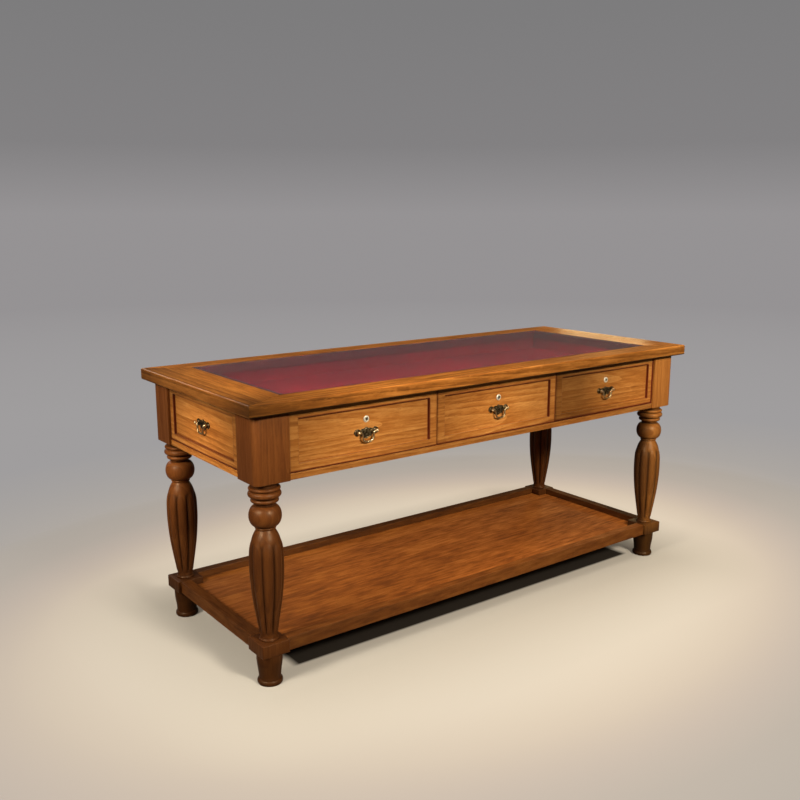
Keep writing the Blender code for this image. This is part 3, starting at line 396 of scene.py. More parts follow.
# Metal: worn high spots and dark hollows from slow noise, fine scratches in the roughness.
def metal(name, bright, dull, roughness, grime, purity=1.0):
    look = Names(**metalLook)
    material, tree, shader = newMaterial(name, Metallic=purity)
    place = objectPlace(tree)
    cloud = spread(noise(place, look.cloudScale, 3.0), 0.35, 0.65)
    grit = spread(noise(place, look.gritScale), *noiseBand, *roughness)
    wearAndShade = addNode("Attribute", {}, tree, attribute_name="patina")["Fac"]
    dirt = calc("MULTIPLY_ADD", cloud, grime, wearAndShade)
    dirt = addNode("Clamp", {0: dirt})[0]
    plug(shader.inputs["Base Color"], blend(dirt, bright, dull))
    plug(shader.inputs["Roughness"], calc("MULTIPLY_ADD", dirt, look.dirtRoughness, grit))
    addBump(shader, *look.bump, cloud)
    return material


velvetLook = {
    "dark": (0.202, 0.0049, 0.0101), "light": (0.308, 0.0095, 0.018), "pile": (0.096, 0.0027, 0.0058),
    "sheen": 0.13, "sheenRoughness": 0.35, "sheenTint": (0.95, 0.07, 0.11),
    "brushSize": (5.0, 9.0, 9.0), "pileScale": 900.0, "pileShare": 0.45, "bump": (0.5, 0.0006),
    "near": -0.16, "far": 0.3, "depth": ((0.0, 0.7), (0.54, 1.02), (1.0, 1.95)),  # painted light and shade: tone kept, far to near
}


# Velvet: a deep pile with a red sheen; brushed patches lie lighter and darker; painted shade darkens the far
# side and painted light brightens the near side.
def velvet(name, look):
    material, tree, shader = newMaterial(
        name, Roughness=0.95, Specular_IOR_Level=0.05, Sheen_Weight=look.sheen,
        Sheen_Roughness=look.sheenRoughness, Sheen_Tint=look.sheenTint,
    )
    place = objectPlace(tree)
    brushed = spread(noise(place, look.brushSize, 3.0, 0.6), *noiseBand)
    pile = noise(place, look.pileScale)
    colour = blend(brushed, look.dark, look.light)
    colour = blend(spread(pile, 0.4, 0.7, 0.0, look.pileShare), colour, look.pile)
    # painted light and shade: lighter towards the front, darker towards the back
    away = axesOf(place)["Y"]
    depth = spread(away, look.near, look.far, 1.0, 0.0)
    depth = ramp(depth, [(at, (kept,) * 3) for at, kept in look.depth])
    colour = blend(1.0, colour, depth, "MULTIPLY")
    plug(shader.inputs["Base Color"], colour)
    addBump(shader, *look.bump, pile)
    return material


# Clear glass; lamps shine through it on to the velvet.
def clearGlass(name):
    material, tree, shader = newMaterial(
        name, Base_Color=(0.975, 0.99, 0.98), Roughness=0.015, IOR=1.5, Transmission_Weight=1.0
    )
    lampRay = addNode("LightPath", {}, tree)["Is Shadow Ray"]
    through = addNode("BsdfTransparent", {"Color": (0.99, 1.0, 0.99, 1.0)}, tree)[0]
    mixed = mixShaders(lampRay, shader.outputs[0], through)
    plug(tree.nodes["Material Output"].inputs["Surface"], mixed)
    return material


brass = metal("antiqueBrass", (0.86, 0.65, 0.34), (0.055, 0.034, 0.015), (0.2, 0.32), 0.38)
nickel = metal("polishedNickel", (0.99, 0.9, 0.7), (0.5, 0.41, 0.28), (0.26, 0.36), 0.12, 0.45)
# the lock plug is coloured dark: painted shade in its keyhole
darkNickel = metal("shadedPlugNickel", (0.42, 0.36, 0.28), (0.09, 0.07, 0.05), (0.3, 0.42), 0.4)
maroonVelvet = velvet("maroonVelvet", Names(**velvetLook))
topGlass = clearGlass("topGlass")
print("finishes made")


# Boards: the CAD nodes with eased arrises and their own timber

dressed = []
heartJitter = 0.02


# A node of the frame in its material, its arrises eased by a small bevel.
def dress(name, material, ease=0.0):
    node = nodes[name]
    node.material_slots[0].material = material
    dressed.append(name)
    if not ease:
        return
    weld = node.modifiers.new("Weld", "WELD")
    weld.merge_threshold = 0.00002
    bevel = node.modifiers.new("Ease", "BEVEL")
    bevel.width = ease
    bevel.segments = 2
    bevel.limit_method = "ANGLE"
    bevel.angle_limit = math.radians(40)
    level = node.modifiers.new("Level", "WEIGHTED_NORMAL")
    level.keep_sharp = True


# The sunk field of a front and its outer edge, for the glaze and its painted shade; sides are low, high,
# bottom, top.
frontField = {"side": 0.032, "top": 0.0275, "bottom": 0.025, "line": 0.0054}


def fieldOf(name, axis, sides, outerSides, outerWidth):
    low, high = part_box(name)
    k = "XYZ".index(axis)
    f = frontField
    bottom, top = low.z + f["bottom"], high.z - f["top"]
    middle, halfLength = (low[k] + high[k]) / 2, (high[k] - low[k]) / 2
    inner = {"centre": (middle, (bottom + top) / 2), "half": (halfLength - f["side"], (top - bottom) / 2)}
    outer = {"centre": (middle, (low.z + high.z) / 2), "half": (halfLength, (high.z - low.z) / 2)}
    inner.update(width=f["line"], sides=sides)
    outer.update(width=outerWidth, sides=outerSides)
    return {"axis": axis, "rims": (inner, outer)}


boards = {  # node: look, grain, heart away from the middle, ease, tone; the tones are wood tone and painted light and shade: shaded shelf rails darker, the lit right lid rail lighter
    "lid_rail_front": ("lidFront", "X", (0.0, 0.05, -0.1), 0.0016, 1.18),
    "lid_rail_back": ("lid", "X", (0.0, -0.04, -0.09), 0.0016, 1.45),
    "lid_rail_left": ("lid", "Y", (0.05, 0.0, -0.11), 0.0016, 0.98),
    "lid_rail_right": ("lidEnd", "Y", (-0.04, 0.0, -0.1), 0.0016, 1.95),
    "bottom_rail_front": ("case", "X", (0.0, 0.06, 0.05), 0.001, 0.76),
    "bottom_rail_left": ("case", "Y", (0.06, 0.0, 0.05), 0.001, 1.42),
    "bottom_rail_right": ("case", "Y", (-0.06, 0.0, 0.05), 0.001, 0.95),
    "back_apron": ("case", "X", (0.0, -0.07, 0.03), 0.0012, 0.85),
    "shelf_rail_front": ("shelf", "X", (0.0, 0.05, -0.06), 0.0015, 0.52),
    "shelf_rail_back": ("shelf", "X", (0.0, -0.05, -0.06), 0.0015, 0.3),
    "shelf_rail_left": ("shelf", "Y", (0.05, 0.0, -0.06), 0.0015, 0.38),
    "shelf_rail_right": ("shelf", "Y", (-0.05, 0.0, -0.06), 0.0015, 0.36),
    "lock_rail": ("inside", "X", (0.0, 0.05, -0.04), 0.0008, 1.0),
    "drawer_divider_1": ("inside", "Y", (0.05, 0.0, 0.03), 0.0008, 1.0),
    "drawer_divider_2": ("inside", "Y", (-0.05, 0.0, 0.03), 0.0008, 1.0),
    "drawer_runner_left": ("inside", "Y", (0.05, 0.0, 0.03), 0.0008, 1.0),
    "drawer_runner_right": ("inside", "Y", (-0.05, 0.0, 0.03), 0.0008, 1.0),
}
# painted light on the tops of the lid rails, and painted shadow of the lid on the fronts below it
paintedTopLight = (0.9, 0.9095)
shadeUnderLid = ("Z", 0.8, 0.85, 1.0, 0.8)
boardShading = {  # painted light and shade: axis, two places on it, share of the tone kept at each; darker where shade falls, lighter where light falls
    # the lid's front rail: painted shade at its left corner and along its lowest edge, painted light on its
    # top
    "lid_rail_front": [
        ("X", -1.0, -0.6, 0.28, 1.0), ("X", 0.0, 0.22, 1.0, 0.7), ("X", 0.66, 0.86, 1.0, 1.1),
        ("Z", *paintedTopLight, 0.98, 1.46), ("Z", 0.8735, 0.877, 0.1, 1.0),
    ],
    "lid_rail_left": [
        ("Y", -0.4, -0.2, 0.34, 1.04), ("Y", 0.08, 0.4, 1.0, 0.54),
        ("X", -0.97, -0.89, 0.94, 1.46), ("Z", *paintedTopLight, 0.84, 1.2),
    ],
    "bottom_rail_left": [("Y", -0.28, -0.08, 0.74, 1.0), ("Y", 0.08, 0.27, 1.0, 0.68)],
    "drawer_1_front": [("X", -0.86, -0.62, 0.68, 1.08), ("X", -0.52, -0.34, 1.0, 0.84), shadeUnderLid],
    "drawer_2_front": [("X", -0.26, -0.06, 0.8, 1.16), ("X", 0.06, 0.26, 1.0, 0.72), shadeUnderLid],
    "drawer_3_front": [("X", 0.42, 0.72, 0.44, 1.16), shadeUnderLid],
    "shelf_rail_front": [("X", -0.86, -0.2, 0.62, 1.0), ("Y", -0.346, -0.342, 1.0, 1.6)],
    "shelf_panel": [
        ("X", -0.95, 0.1, 0.42, 1.15), ("X", 0.35, 0.85, 1.0, 0.86),
        ("Y", -0.35, -0.1, 1.12, 1.0), ("Y", 0.05, 0.33, 1.0, 0.84),
    ],
    "end_front_left": [
        ("Y", -0.24, -0.06, 0.56, 1.16), ("Y", 0.08, 0.25, 1.0, 0.54), ("Z", 0.785, 0.845, 1.0, 0.6),
    ],
    "end_front_right": [("Y", -0.3, 0.1, 1.16, 1.0)],
}
drawerGlazeAndShade = (0.15, 0.95, 0.12, 0.9)  # strength of the line round the field on each side: painted shade, strong on the right and top walls that lie in shade, weak on the lit left and bottom ones
drawerLooks = {  # heart, and the outer line's strength on each side and width; the outer line is dark joints with painted shade: the top one is the lid's painted shadow, the right one strongest beside the post
    1: ((0.0, 0.085, 0.02), (0.3, 0.4, 1.0, 1.0), 0.0058),
    2: ((0.0, 0.075, -0.03), (0.3, 0.7, 1.0, 1.0), 0.0076),
    3: ((0.0, 0.09, 0.045), (0.3, 3.0, 1.0, 1.0), 0.0106),
}
endGlazeAndShade = ((0.5, 0.95, 0.72, 0.5), (0.6, 1.0, 1.0, 0.5), 0.0085)  # both lines, the outer one's width; the strengths on each side are painted shade
endHearts = {"left": (0.08, 0.0, 0.03), "right": (-0.08, 0.0, 0.02)}
boxWall = 0.0125
liningPlay = 0.0002


# A board in its own timber; the log's heart lies off its middle, so rings cut its face as long arches.
def dressBoard(name, look, grain, away, ease, tone=1.0, label=None, **more):
    low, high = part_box(name)
    heart = (low + high) / 2 + Vector(away) + Vector(rng.uniform(-heartJitter, heartJitter, 3))
    fades = boardShading.get(name, ())
    dress(name, timber(label or name + "_timber", look, grain, heart, tone, fades=fades, **more), ease)


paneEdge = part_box("lid_glass")[1]
ledge = (paneEdge.x - liningPlay, paneEdge.y - liningPlay)
for name, (look, grain, away, ease, tone) in boards.items():
    dressBoard(name, look, grain, away, ease, tone, lining=ledge if look.startswith("lid") else None)
# the shelf's tone here and the end fronts' tone below are partly painted light
dressBoard("shelf_panel", "shelf", "X", (0.0, 0.02, -0.12), 0.0008, 1.4, "shelfTimber", stave=0.096)
dressBoard("display_deck", "inside", "X", (0.0, 0.03, -0.1), 0.0, 1.0, "deckTimber", stave=0.11)
for number, (away, outer, width) in drawerLooks.items():
    front, box, bottom = (f"drawer_{number}_{part}" for part in ("front", "box", "bottom"))
    glazeAndShade = fieldOf(front, "X", drawerGlazeAndShade, outer, width)
    dressBoard(front, "case", "X", away, 0.001, field=glazeAndShade)
    low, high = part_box(box)
    ends = ((low.y + high.y) / 2, (high.y - low.y) / 2 - boxWall)
    dressBoard(box, "inside", "Y", (0.31, 0.0, 0.02), 0.0008, ends=ends)
    dressBoard(bottom, "inside", "X", (0.0, 0.02, -0.09), 0.0, stave=0.12)
for side, away in endHearts.items():
    front = f"end_front_{side}"
    dressBoard(front, "case", "Y", away, 0.001, 1.28, field=fieldOf(front, "Y", *endGlazeAndShade))
for side in ("front", "back", "left", "right"):
    dress(f"well_wall_{side}", maroonVelvet, 0.0012)
dress("lid_glass", topGlass)
dress("hinge_pin", brass)
for number in (1, 2, 3):
    dress(f"lock_plug_{number}", darkNickel, 0.0002)
print("boards dressed:", len(dressed))


# Legs: foot, shelf block, reeded vase, ball, rings and post as one grid of rings

blockHigh, postLow = 0.146, 0.657
legShape = {
    "reeds": 8, "columnsPerReed": 24, "grooveDepth": 0.008, "grooveCurve": 2.6,
    "blockHalf": 0.0475, "blockLow": 0.104, "blockHigh": blockHigh, "blockEase": 0.0018,
    "postHalf": 0.0585, "postLow": postLow, "postRound": 0.022, "postEase": 0.0016,
    "vaseLow": 0.16, "vaseHigh": 0.506, "vaseRows": 126,
    "vaseShare": (0.0, 0.09, 0.23, 0.36, 0.5, 0.69, 0.84, 0.93, 1.0),
    "vaseRadius": (0.0272, 0.032, 0.04, 0.0465, 0.0512, 0.0535, 0.0502, 0.0414, 0.0285),
    "tipHigh": 0.9, "archHigh": 0.11, "tipLow": 0.004, "archLow": 0.06, "dome": 0.05,
    "groundLow": (-0.03, 0.11), "groundFade": (0.73, 0.92), "fadeShare": 0.88, "groundHigh": (0.89, 0.98),
    "coveRadius": 0.0346, "coveSwell": 0.0066, "coveLow": 0.02,
    # mouldings: low, height, foot, swell and rows of a bead, or radius and height of a corner
    "footRing": (
        (0.0, 0.0), (0.036, 0.0), (0.0, 0.017, 0.0345, 0.0402, 12, 0.2), (0.035, 0.0178), (0.035, 0.0192),
    ),
    "base": ((blockHigh, 0.0062, 0.0275, 0.0308, 9), (0.027, 0.153), (0.0266, 0.155), (0.0266, 0.1575)),
    "neck": (
        (0.5064, 0.0072, 0.0285, 0.0326, 9), (0.5142, 0.0668, 0.0288, 0.0505, 30),
        (0.0312, 0.5825), (0.0308, 0.5855), (0.0326, 0.5893), (0.59, 0.0138, 0.0355, 0.0432, 13),
        (0.0372, 0.6042), (0.0372, 0.6062), (0.6064, 0.0205, 0.0412, 0.0512, 16),
        (0.0432, 0.6272), (0.0432, 0.6284), (0.6286, 0.0112, 0.0432, 0.0492, 11),
        (0.0402, 0.6404), (0.0396, 0.644), (0.0398, 0.65), (0.0412, 0.6545), (0.043, postLow),
    ),
    "patinaReach": 0.007, "hollowStart": 0.0006, "hollowDepth": 0.0045,
    "grooveDark": 0.98, "grooveEdge": 4.4,
}


# Distance from the centre to a square with rounded corners, along each angle.
def squareReach(angle, half, corner):
    c, s = np.abs(np.cos(angle)), np.abs(np.sin(angle))
    flat = half / np.maximum(c, s)
    centre = half - corner
    along = centre * (c + s)
    arc = along + np.sqrt(np.maximum(along**2 - 2 * centre**2 + corner**2, 0.0))
    return np.where(np.minimum(c, s) * flat > centre, arc, flat)


# Rows of a square length of the leg: a quarter-round ease, the flat side, and an ease at the top.
def squareRows(half, low, high, ease):
    t = np.linspace(0.0, math.pi / 2, 4)
    inset = ease * (1 - np.sin(t))
    rise = ease * (1 - np.cos(t))
    z = np.concatenate([low + rise, high - rise[::-1]])
    return joined(half - np.concatenate([inset, inset[::-1]]), z)


# Rows of turned mouldings, one after the other: each is a bead or one corner.
def turned(mouldings):
    return np.concatenate([beadRows(*m) if len(m) > 2 else [m] for m in mouldings])


# Radius of each ring at each angle. Reeds: from the reed's crown the radius falls by a power of the
# way to the groove; at both ends the reed closes in an arch with a domed tip, and the ground runs out.
def legSurface(s, postTop):
    perReed = np.linspace(0.0, 1.0, s.columnsPerReed, endpoint=False)
    perReed = perReed - 0.75 * np.sin(2 * math.pi * perReed) / (2 * math.pi)  # closer in the grooves
    angle = ((np.arange(s.reeds)[:, None] + perReed) * 2 * math.pi / s.reeds).ravel()
    fromCrown = np.abs(2 * (angle * s.reeds / (2 * math.pi) % 1.0) - 1)

    swell = np.linspace(0.0, 1.0, 14)
    coveRadius = s.coveRadius + s.coveSwell * smoothStep(0.0, 0.8, swell)
    coveHeight = s.coveLow + (s.blockLow - s.coveLow) * swell
    foot = np.concatenate([turned(s.footRing), joined(coveRadius, coveHeight)])
    block = squareRows(s.blockHalf, s.blockLow, s.blockHigh, s.blockEase)
    share = np.linspace(0.0, 1.0, s.vaseRows)
    vaseRadius = smoothCurve(s.vaseShare, s.vaseRadius, share)
    vase = joined(vaseRadius, s.vaseLow + (s.vaseHigh - s.vaseLow) * share)
    post = squareRows(s.postHalf, s.postLow, postTop, s.postEase)
    base, neck, crown = turned(s.base), turned(s.neck), np.array([[0.0, postTop]])
    parts = [foot, block, base, vase, neck, post, crown]
    rows = np.concatenate(parts)
    kind = np.concatenate([np.full(len(p), k) for k, p in enumerate(parts)])[:, None]
    size, height = rows[:, :1], rows[:, 1]

    vaseShare = (height - s.vaseLow) / (s.vaseHigh - s.vaseLow)
    ground = smoothStep(*s.groundLow, vaseShare) * (1 - s.fadeShare * smoothStep(*s.groundFade, vaseShare))
    ground = ground * (1 - smoothStep(*s.groundHigh, vaseShare))
    pastHigh = np.clip(1 - (s.tipHigh - vaseShare) / s.archHigh, 0.0, 1.0)
    pastLow = np.clip(1 - (vaseShare - s.tipLow) / s.archLow, 0.0, 1.0)
    arch = np.sqrt((1 - pastHigh**2) * (1 - pastLow**2))[:, None]
    dome = np.minimum((s.tipHigh - vaseShare), (vaseShare - s.tipLow)) / s.dome
    dome = np.sin(np.clip(dome, 0.0, 1.0) * math.pi / 2)[:, None]
    across = np.clip(fromCrown / np.maximum(arch, 1e-4), 0.0, 1.0)
    groove = (1 - (1 - across ** s.grooveCurve) * dome) * ground[:, None]
    outerCorner = (np.cos(angle) < 0) & (np.sin(angle) < 0)
    postCorner = np.where(outerCorner, s.postRound, s.postEase)
    reach = np.where(kind == 3, size - s.grooveDepth * groove, size + 0.0 * angle)
    reach = np.where(kind == 1, squareReach(angle, size, s.blockEase), reach)
    reach = np.where(kind == 5, squareReach(angle, size, postCorner), reach)
    # patina gathers in the grooves and wherever a ring lies below the mean of its neighbours
    near = np.exp(-(((height[:, None] - height[None, :]) / s.patinaReach) ** 2))
    isRound = np.isin(kind, (0, 2, 3, 4)).astype(float)
    near = near * isRound.T
    mean = near @ size / np.maximum(near.sum(1, keepdims=True), 1e-9)
    hollow = np.clip((mean - size - s.hollowStart) / s.hollowDepth, 0.0, 1.0) * isRound
    inGroove = s.grooveDark * across ** s.grooveEdge * arch * dome
    patina = np.clip(hollow + np.where(kind == 3, inGroove, 0.0), 0.0, 1.0)
    z = np.broadcast_to(height[:, None], reach.shape)
    return joined(reach * np.cos(angle), reach * np.sin(angle), z), patina


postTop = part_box("leg_front_left")[1].z
legPoints, legPatina = legSurface(Names(**legShape), postTop)
# Turn that brings the rounded corner outside, tones of post, crown and vase, the foot's fade, painted shade
# on a side; these tones and fades are painted light and shade: post and crown lighter or darker as the light
# falls, vase and foot darker in shade
legs = {
    "front_left": (0.0, 0.62, 1.4, 0.56, (0.07, 0.11, 0.58), (0.77, -0.63, 0.0)),
    "front_right": (math.pi / 2, (1.95, 2.35, 2.2), 1.5, 0.47, (0.09, 0.17, 0.26), (-0.77, 0.63, 1.0)),
    "back_right": (math.pi, 1.0, 1.0, 0.36, (0.08, 0.15, 0.68), (0.77, 0.63, 0.0)),
    "back_left": (-math.pi / 2, 0.7, 1.36, 1.06, (0.1, 0.44, 0.3), (0.77, -0.63, 0.55)),
}
crownReach, neckReach = (0.41, 0.52), (0.6, 0.66)  # heights between which the painted light and shade change
legHeart = Vector((0.034, 0.021, 0.0))


# Painted shade on one side of the turning: the share of the way round towards that side, below the post.
def sideShade(points, axis, side):
    out = points[..., :2] - np.array(axis[:2])
    out = out / np.maximum(np.linalg.norm(out, axis=-1, keepdims=True), 1e-6)
    return side[2] * smoothStep(-0.3, 0.9, out @ np.array(side[:2])) * (points[..., 2] < postLow)


for corner, (turn, tone, crown, kept, foot, side) in legs.items():
    node = f"leg_{corner}"
    low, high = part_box(node)
    axis = ((low.x + high.x) / 2, (low.y + high.y) / 2, 0.0)
    heart = Vector(axis) + legHeart
    # painted shade on the foot and the vase, painted light on the crown
    fades = [("Z", *foot, 1.0), ("Z", *crownReach, 1.0, crown), ("Z", *neckReach, kept, 1.0 / crown)]
    legTimber = timber(node + "_timber", "leg", "Z", heart, tone, fades=fades)
    points = placed(legPoints, axis, turn)
    # patina in the hollows, with painted shade on one side
    patinaAndSideShade = np.clip(legPatina + sideShade(points, axis, side), 0.0, 1.0)
    addPiece(f"turnedLeg_{corner}", [(points, True)], legTimber, "case", [node], 32, patinaAndSideShade)
print("legs turned:", legPoints.shape)


# Drop handles: bat-wing plate, two posts and a swan-neck bail

pullShape = {
    "postX": 0.034, "plateFront": 0.0099, "plateBack": 0.0117,
    "rightEdge": (  # plate outline from the crest round the right wing to the foot, x and z
        (0.0, 0.0145), (0.004, 0.0128), (0.0075, 0.0104), (0.0125, 0.0102), (0.0185, 0.0092),
        (0.0235, 0.007), (0.0275, 0.0088), (0.033, 0.011), (0.04, 0.0096), (0.0452, 0.0055),
        (0.047, 0.0), (0.0452, -0.0056), (0.04, -0.0097), (0.033, -0.011), (0.0275, -0.0086),
        (0.0225, -0.0072), (0.0208, -0.0108), (0.0192, -0.0158), (0.0155, -0.0194), (0.0112, -0.0192),
        (0.0072, -0.0208), (0.0036, -0.0228), (0.0, -0.0236),
    ),
    "rodPath": (  # half of the bail from its pin down to the middle of the bow, x and z
        (0.0369, 0.0), (0.0322, 0.0), (0.0279, 0.0), (0.0255, -0.0012), (0.0232, -0.0036), (0.0212, -0.009),
        (0.0208, -0.0145), (0.02, -0.0205), (0.0152, -0.0278), (0.0078, -0.0305), (0.0, -0.031),
    ),
    "rodThin": 0.002064, "rodSwell": 0.003, "pinFrom": 0.0279, "pinRadius": 0.0016, "headRadius": 0.0058,
    "plateFace": (  # share of the way in from the edge, share of the thickness there
        (0.0, 0.0), (0.0, 0.35), (0.02, 0.72), (0.05, 0.92), (0.09, 1.0), (0.14, 1.0), (0.2, 0.96),
        (0.24, 0.62), (0.28, 0.96), (0.34, 1.02), (0.45, 1.1), (0.6, 1.16), (0.8, 1.2), (1.0, 1.2),
    ),
    "spineHalf": 0.036, "spineShare": 0.92, "spineHeight": -0.0015,
    "postBase": -0.0104, "baseRadius": 0.0068, "rosette": (0.0022, 0.0058, 0.007),
    "stem": ((0.0046, -0.0078), (0.0039, -0.0066), (0.0036, -0.0058)),
}


# Closed curve through the outline's points, both halves, at even steps.
def plateEdge(s, count):
    right = np.array(s.rightEdge)
    left = right[-2:0:-1] * np.array([-1.0, 1.0])
    loop = np.concatenate([right, left])
    wrapped = np.concatenate([loop[-3:], loop, loop[:4]])
    knots = np.arange(-3, len(loop) + 4, dtype=float)
    at = np.linspace(0.0, len(loop), count, endpoint=False)
    return joined(*(smoothCurve(knots, wrapped[:, k], at) for k in (0, 1)))


# Plate: the outline drawn in to a spine along its middle; its face rises over a rounded edge,
# dips in an engraved line and then crowns a little.
def plateSurface(s):
    edge = plateEdge(s, 216)
    spineX = np.clip(edge[:, 0], -s.spineHalf, s.spineHalf) * s.spineShare
    spine = joined(spineX, np.full(len(edge), s.spineHeight))
    inward, rise = np.array(s.plateFace).T
    thick = s.plateBack - s.plateFront
    flat = edge[None] + (spine - edge)[None] * inward[:, None, None]
    y = s.plateBack - thick * np.broadcast_to(rise[:, None], flat.shape[:2])
    points = joined(flat[..., 0], y, flat[..., 1])
    back = joined(spine[:, 0], np.full(len(edge), s.plateBack), spine[:, 1])[None]
    patina = np.concatenate([[0.7], np.interp(rise, (0.3, 0.65, 1.0, 1.2), (0.55, 1.0, 0.6, 0.7))])
    return np.concatenate([back, points]), np.broadcast_to(patina[:, None], (len(inward) + 1, len(edge)))


# Post: a rosette on the plate, a waisted stem and a ball head on the bail's axis.
def postSurface(s, side):
    head = s.headRadius
    ball = np.linspace(-0.95, math.pi / 2, 15)
    profile = np.concatenate([
        [[0.0, s.postBase], [s.baseRadius, s.postBase]],
        beadRows(s.postBase, *s.rosette, 6)[1:],
        s.stem,
        joined(head * np.cos(ball), head * np.sin(ball)),
    ])
    points = facingFront(lathe(profile, 32)) + np.array([side * s.postX, 0.0, 0.0])
    patina = np.interp(profile[:, 1], (s.postBase, -0.006, -0.003, 0.0), (0.5, 0.9, 0.3, 0.0))
    return points, np.broadcast_to(patina[:, None], points.shape[:2])


# Bail: a round rod on a path in the plane of the plate; the rod swells towards the middle of its bow.
def bailSurface(s):
    knotsX, knotsZ = np.array(s.rodPath).T
    knotsX = np.concatenate([knotsX, -knotsX[-2::-1]])
    knotsZ = np.concatenate([knotsZ, knotsZ[-2::-1]])
    along = np.arange(len(knotsX), dtype=float)
    at = np.linspace(0.0, along[-1], 181)
    x, z = smoothCurve(along, knotsX, at), smoothCurve(along, knotsZ, at)
    dx, dz = np.gradient(x), np.gradient(z)
    length = np.hypot(dx, dz)
    sideX, sideZ = -dz / length, dx / length
    bow = np.abs(at / along[-1] * 2 - 1)
    radius = s.rodThin + (s.rodSwell - s.rodThin) * (1 - bow**2)
    radius = np.where(np.abs(x) > s.pinFrom, s.pinRadius, radius)
    radius = np.where(bow < 0.035, radius * 1.12, radius)  # a small bead at the middle
    radius[[0, -1]] = 0.0
    turn = np.linspace(0.0, 2 * math.pi, 28, endpoint=False)
    out, depth = np.cos(turn), np.sin(turn)
    points = joined(
        x[:, None] + radius[:, None] * sideX[:, None] * out,
        radius[:, None] * depth + 0.0 * x[:, None],
        z[:, None] + radius[:, None] * sideZ[:, None] * out,
    )
    patina = np.clip(0.55 * (depth + 0.2), 0.0, 0.6)
    return points, np.broadcast_to(patina[None, :], points.shape[:2])


pull = Names(**pullShape)
plate, platePatina = plateSurface(pull)
posts = [postSurface(pull, side) for side in (-1, 1)]
platePatinas = np.concatenate([platePatina.ravel()] + [p.ravel() for points, p in posts])
bail, bailPatina = bailSurface(pull)
pulls = {number: (f"drawer_{number}", 0.0) for number in (1, 2, 3)}
pulls.update(left=("case", -math.pi / 2), right=("case", math.pi / 2))
for label, (body, turn) in pulls.items():
    pivot = jointAt[f"bail_{label}_swing"]
    grids = [(placed(points, pivot, turn), True) for points in [plate] + [points for points, p in posts]]
    addPiece(f"pullPlate_{label}", grids, brass, body, [f"pull_plate_{label}"], 40, platePatinas)
    addPiece(
        f"pullBail_{label}", [(placed(bail, pivot, turn), True)], brass, f"bail_{label}",
        [f"pull_bail_{label}"], 40, bailPatina,
    )
print("handles made:", len(pulls))


# Locks: a turned barrel with a domed flange

lockShape = {
    "bore": 0.0056, "crest": 0.0071, "flange": 0.011, "face": 0.0035, "barrel": 0.008,
    "back": -0.0279, "seat": 0.0003, "rim": 0.0004, "ring": (0.0063, 0.0066, 0.0006), "lip": 0.0003,
}


# Bore with a lip and a cut ring, a quarter ellipse out to the flange, and the barrel behind it.
def lockProfile(s):
    bore, barrel, seat, back = s.bore, s.barrel, s.seat, s.back
    ringIn, ringOut, ringDepth = s.ring
    lip = s.face - s.lip
    crest = (s.crest, s.face)
    corners = ((bore, back), (bore, lip), (ringIn, lip), (ringOut, lip - ringDepth), crest)
    inside = eased(corners, (0.0002, 0.0002, 0.0001))
    turn = np.linspace(0.0, math.pi / 2, 14)[1:]
    reach, rise = s.flange - s.crest, s.face - seat - s.rim
    dome = joined(s.crest + reach * np.sin(turn), seat + s.rim + rise * np.cos(turn))
    outside = eased(((s.flange, seat), (barrel, seat), (barrel, back), (bore, back)), (0.0003, 0.0004))
    return np.concatenate([inside, dome, outside])


barrel = facingFront(lathe(lockProfile(Names(**lockShape)), 64))
for number in (1, 2, 3):
    addPiece(
        f"lockBarrel_{number}", [(placed(barrel, jointAt[f"lock_{number}_turn"]), True)], nickel,
        f"drawer_{number}", [f"lock_barrel_{number}"], 40,
    )
print("locks made")


# Continuous hinge: flat leaves, rolled knuckles and countersunk screws

hingeShape = {
    "half": 0.82, "knuckles": 17, "gap": 0.0006, "outer": 0.004, "thick": 0.0015,
    "leafTop": -0.0046, "leafLow": -0.022, "screws": 9,
    "screwRadius": 0.0031, "screwEnd": 0.03, "screwDrop": 0.001,
}


# A bar along X: a closed section carried between two ends, and the ends closed across its thickness.
def barGrids(section, low, high):
    loop = np.concatenate([section, section[:1]])
    ends = [joined(np.full(len(loop), x), loop[:, 0], loop[:, 1]) for x in (low, high)]
    half = len(section) // 2
    caps = [(np.stack([end[:half], end[half:-1][::-1]]), False) for end in ends]
    return [(np.stack(ends), False)] + caps


# Hook of a knuckle: straight up from the leaf, then an arc of 300 degrees about the pin, as two offsets.
def knuckleSection(s):
    turn = np.linspace(math.pi, math.pi - math.radians(300), 30)
    rise = np.linspace(s.leafTop - 0.002, -0.0004, 4)
    arc = joined(np.cos(turn), np.sin(turn))
    offsets = []
    for radius in (s.outer, s.outer - s.thick):
        offsets.append(np.concatenate([joined(np.full(len(rise), -radius), rise), radius * arc]))
    return np.concatenate([offsets[0], offsets[1][::-1]])


def leafSection(s):
    y0, y1 = -s.outer, -s.outer + s.thick
    r = 0.0003
    z0, z1 = s.leafLow, s.leafTop
    return np.array([(y0, z0), (y0, z1), (y1 - r, z1), (y1, z1 - r), (y1, z0 + r), (y1 - r, z0)])


# Screw head: a square grid bent to a disc, crowned, with the rows along its middle sunk as the slot.
def screwHead(radius):
    side = np.array([-1.0, -0.8, -0.55, -0.3, -0.17, -0.15, 0.15, 0.17, 0.3, 0.55, 0.8, 1.0])
    u, v = np.meshgrid(side, side, indexing="ij")
    x, z = u * np.sqrt(1 - v**2 / 2), v * np.sqrt(1 - u**2 / 2)
    lift = 0.0005 * (1 - 0.8 * np.clip(x**2 + z**2, 0, 1)) - np.where(np.abs(u) < 0.16, 0.0006, 0.0)
    return joined(radius * x, lift, radius * z)


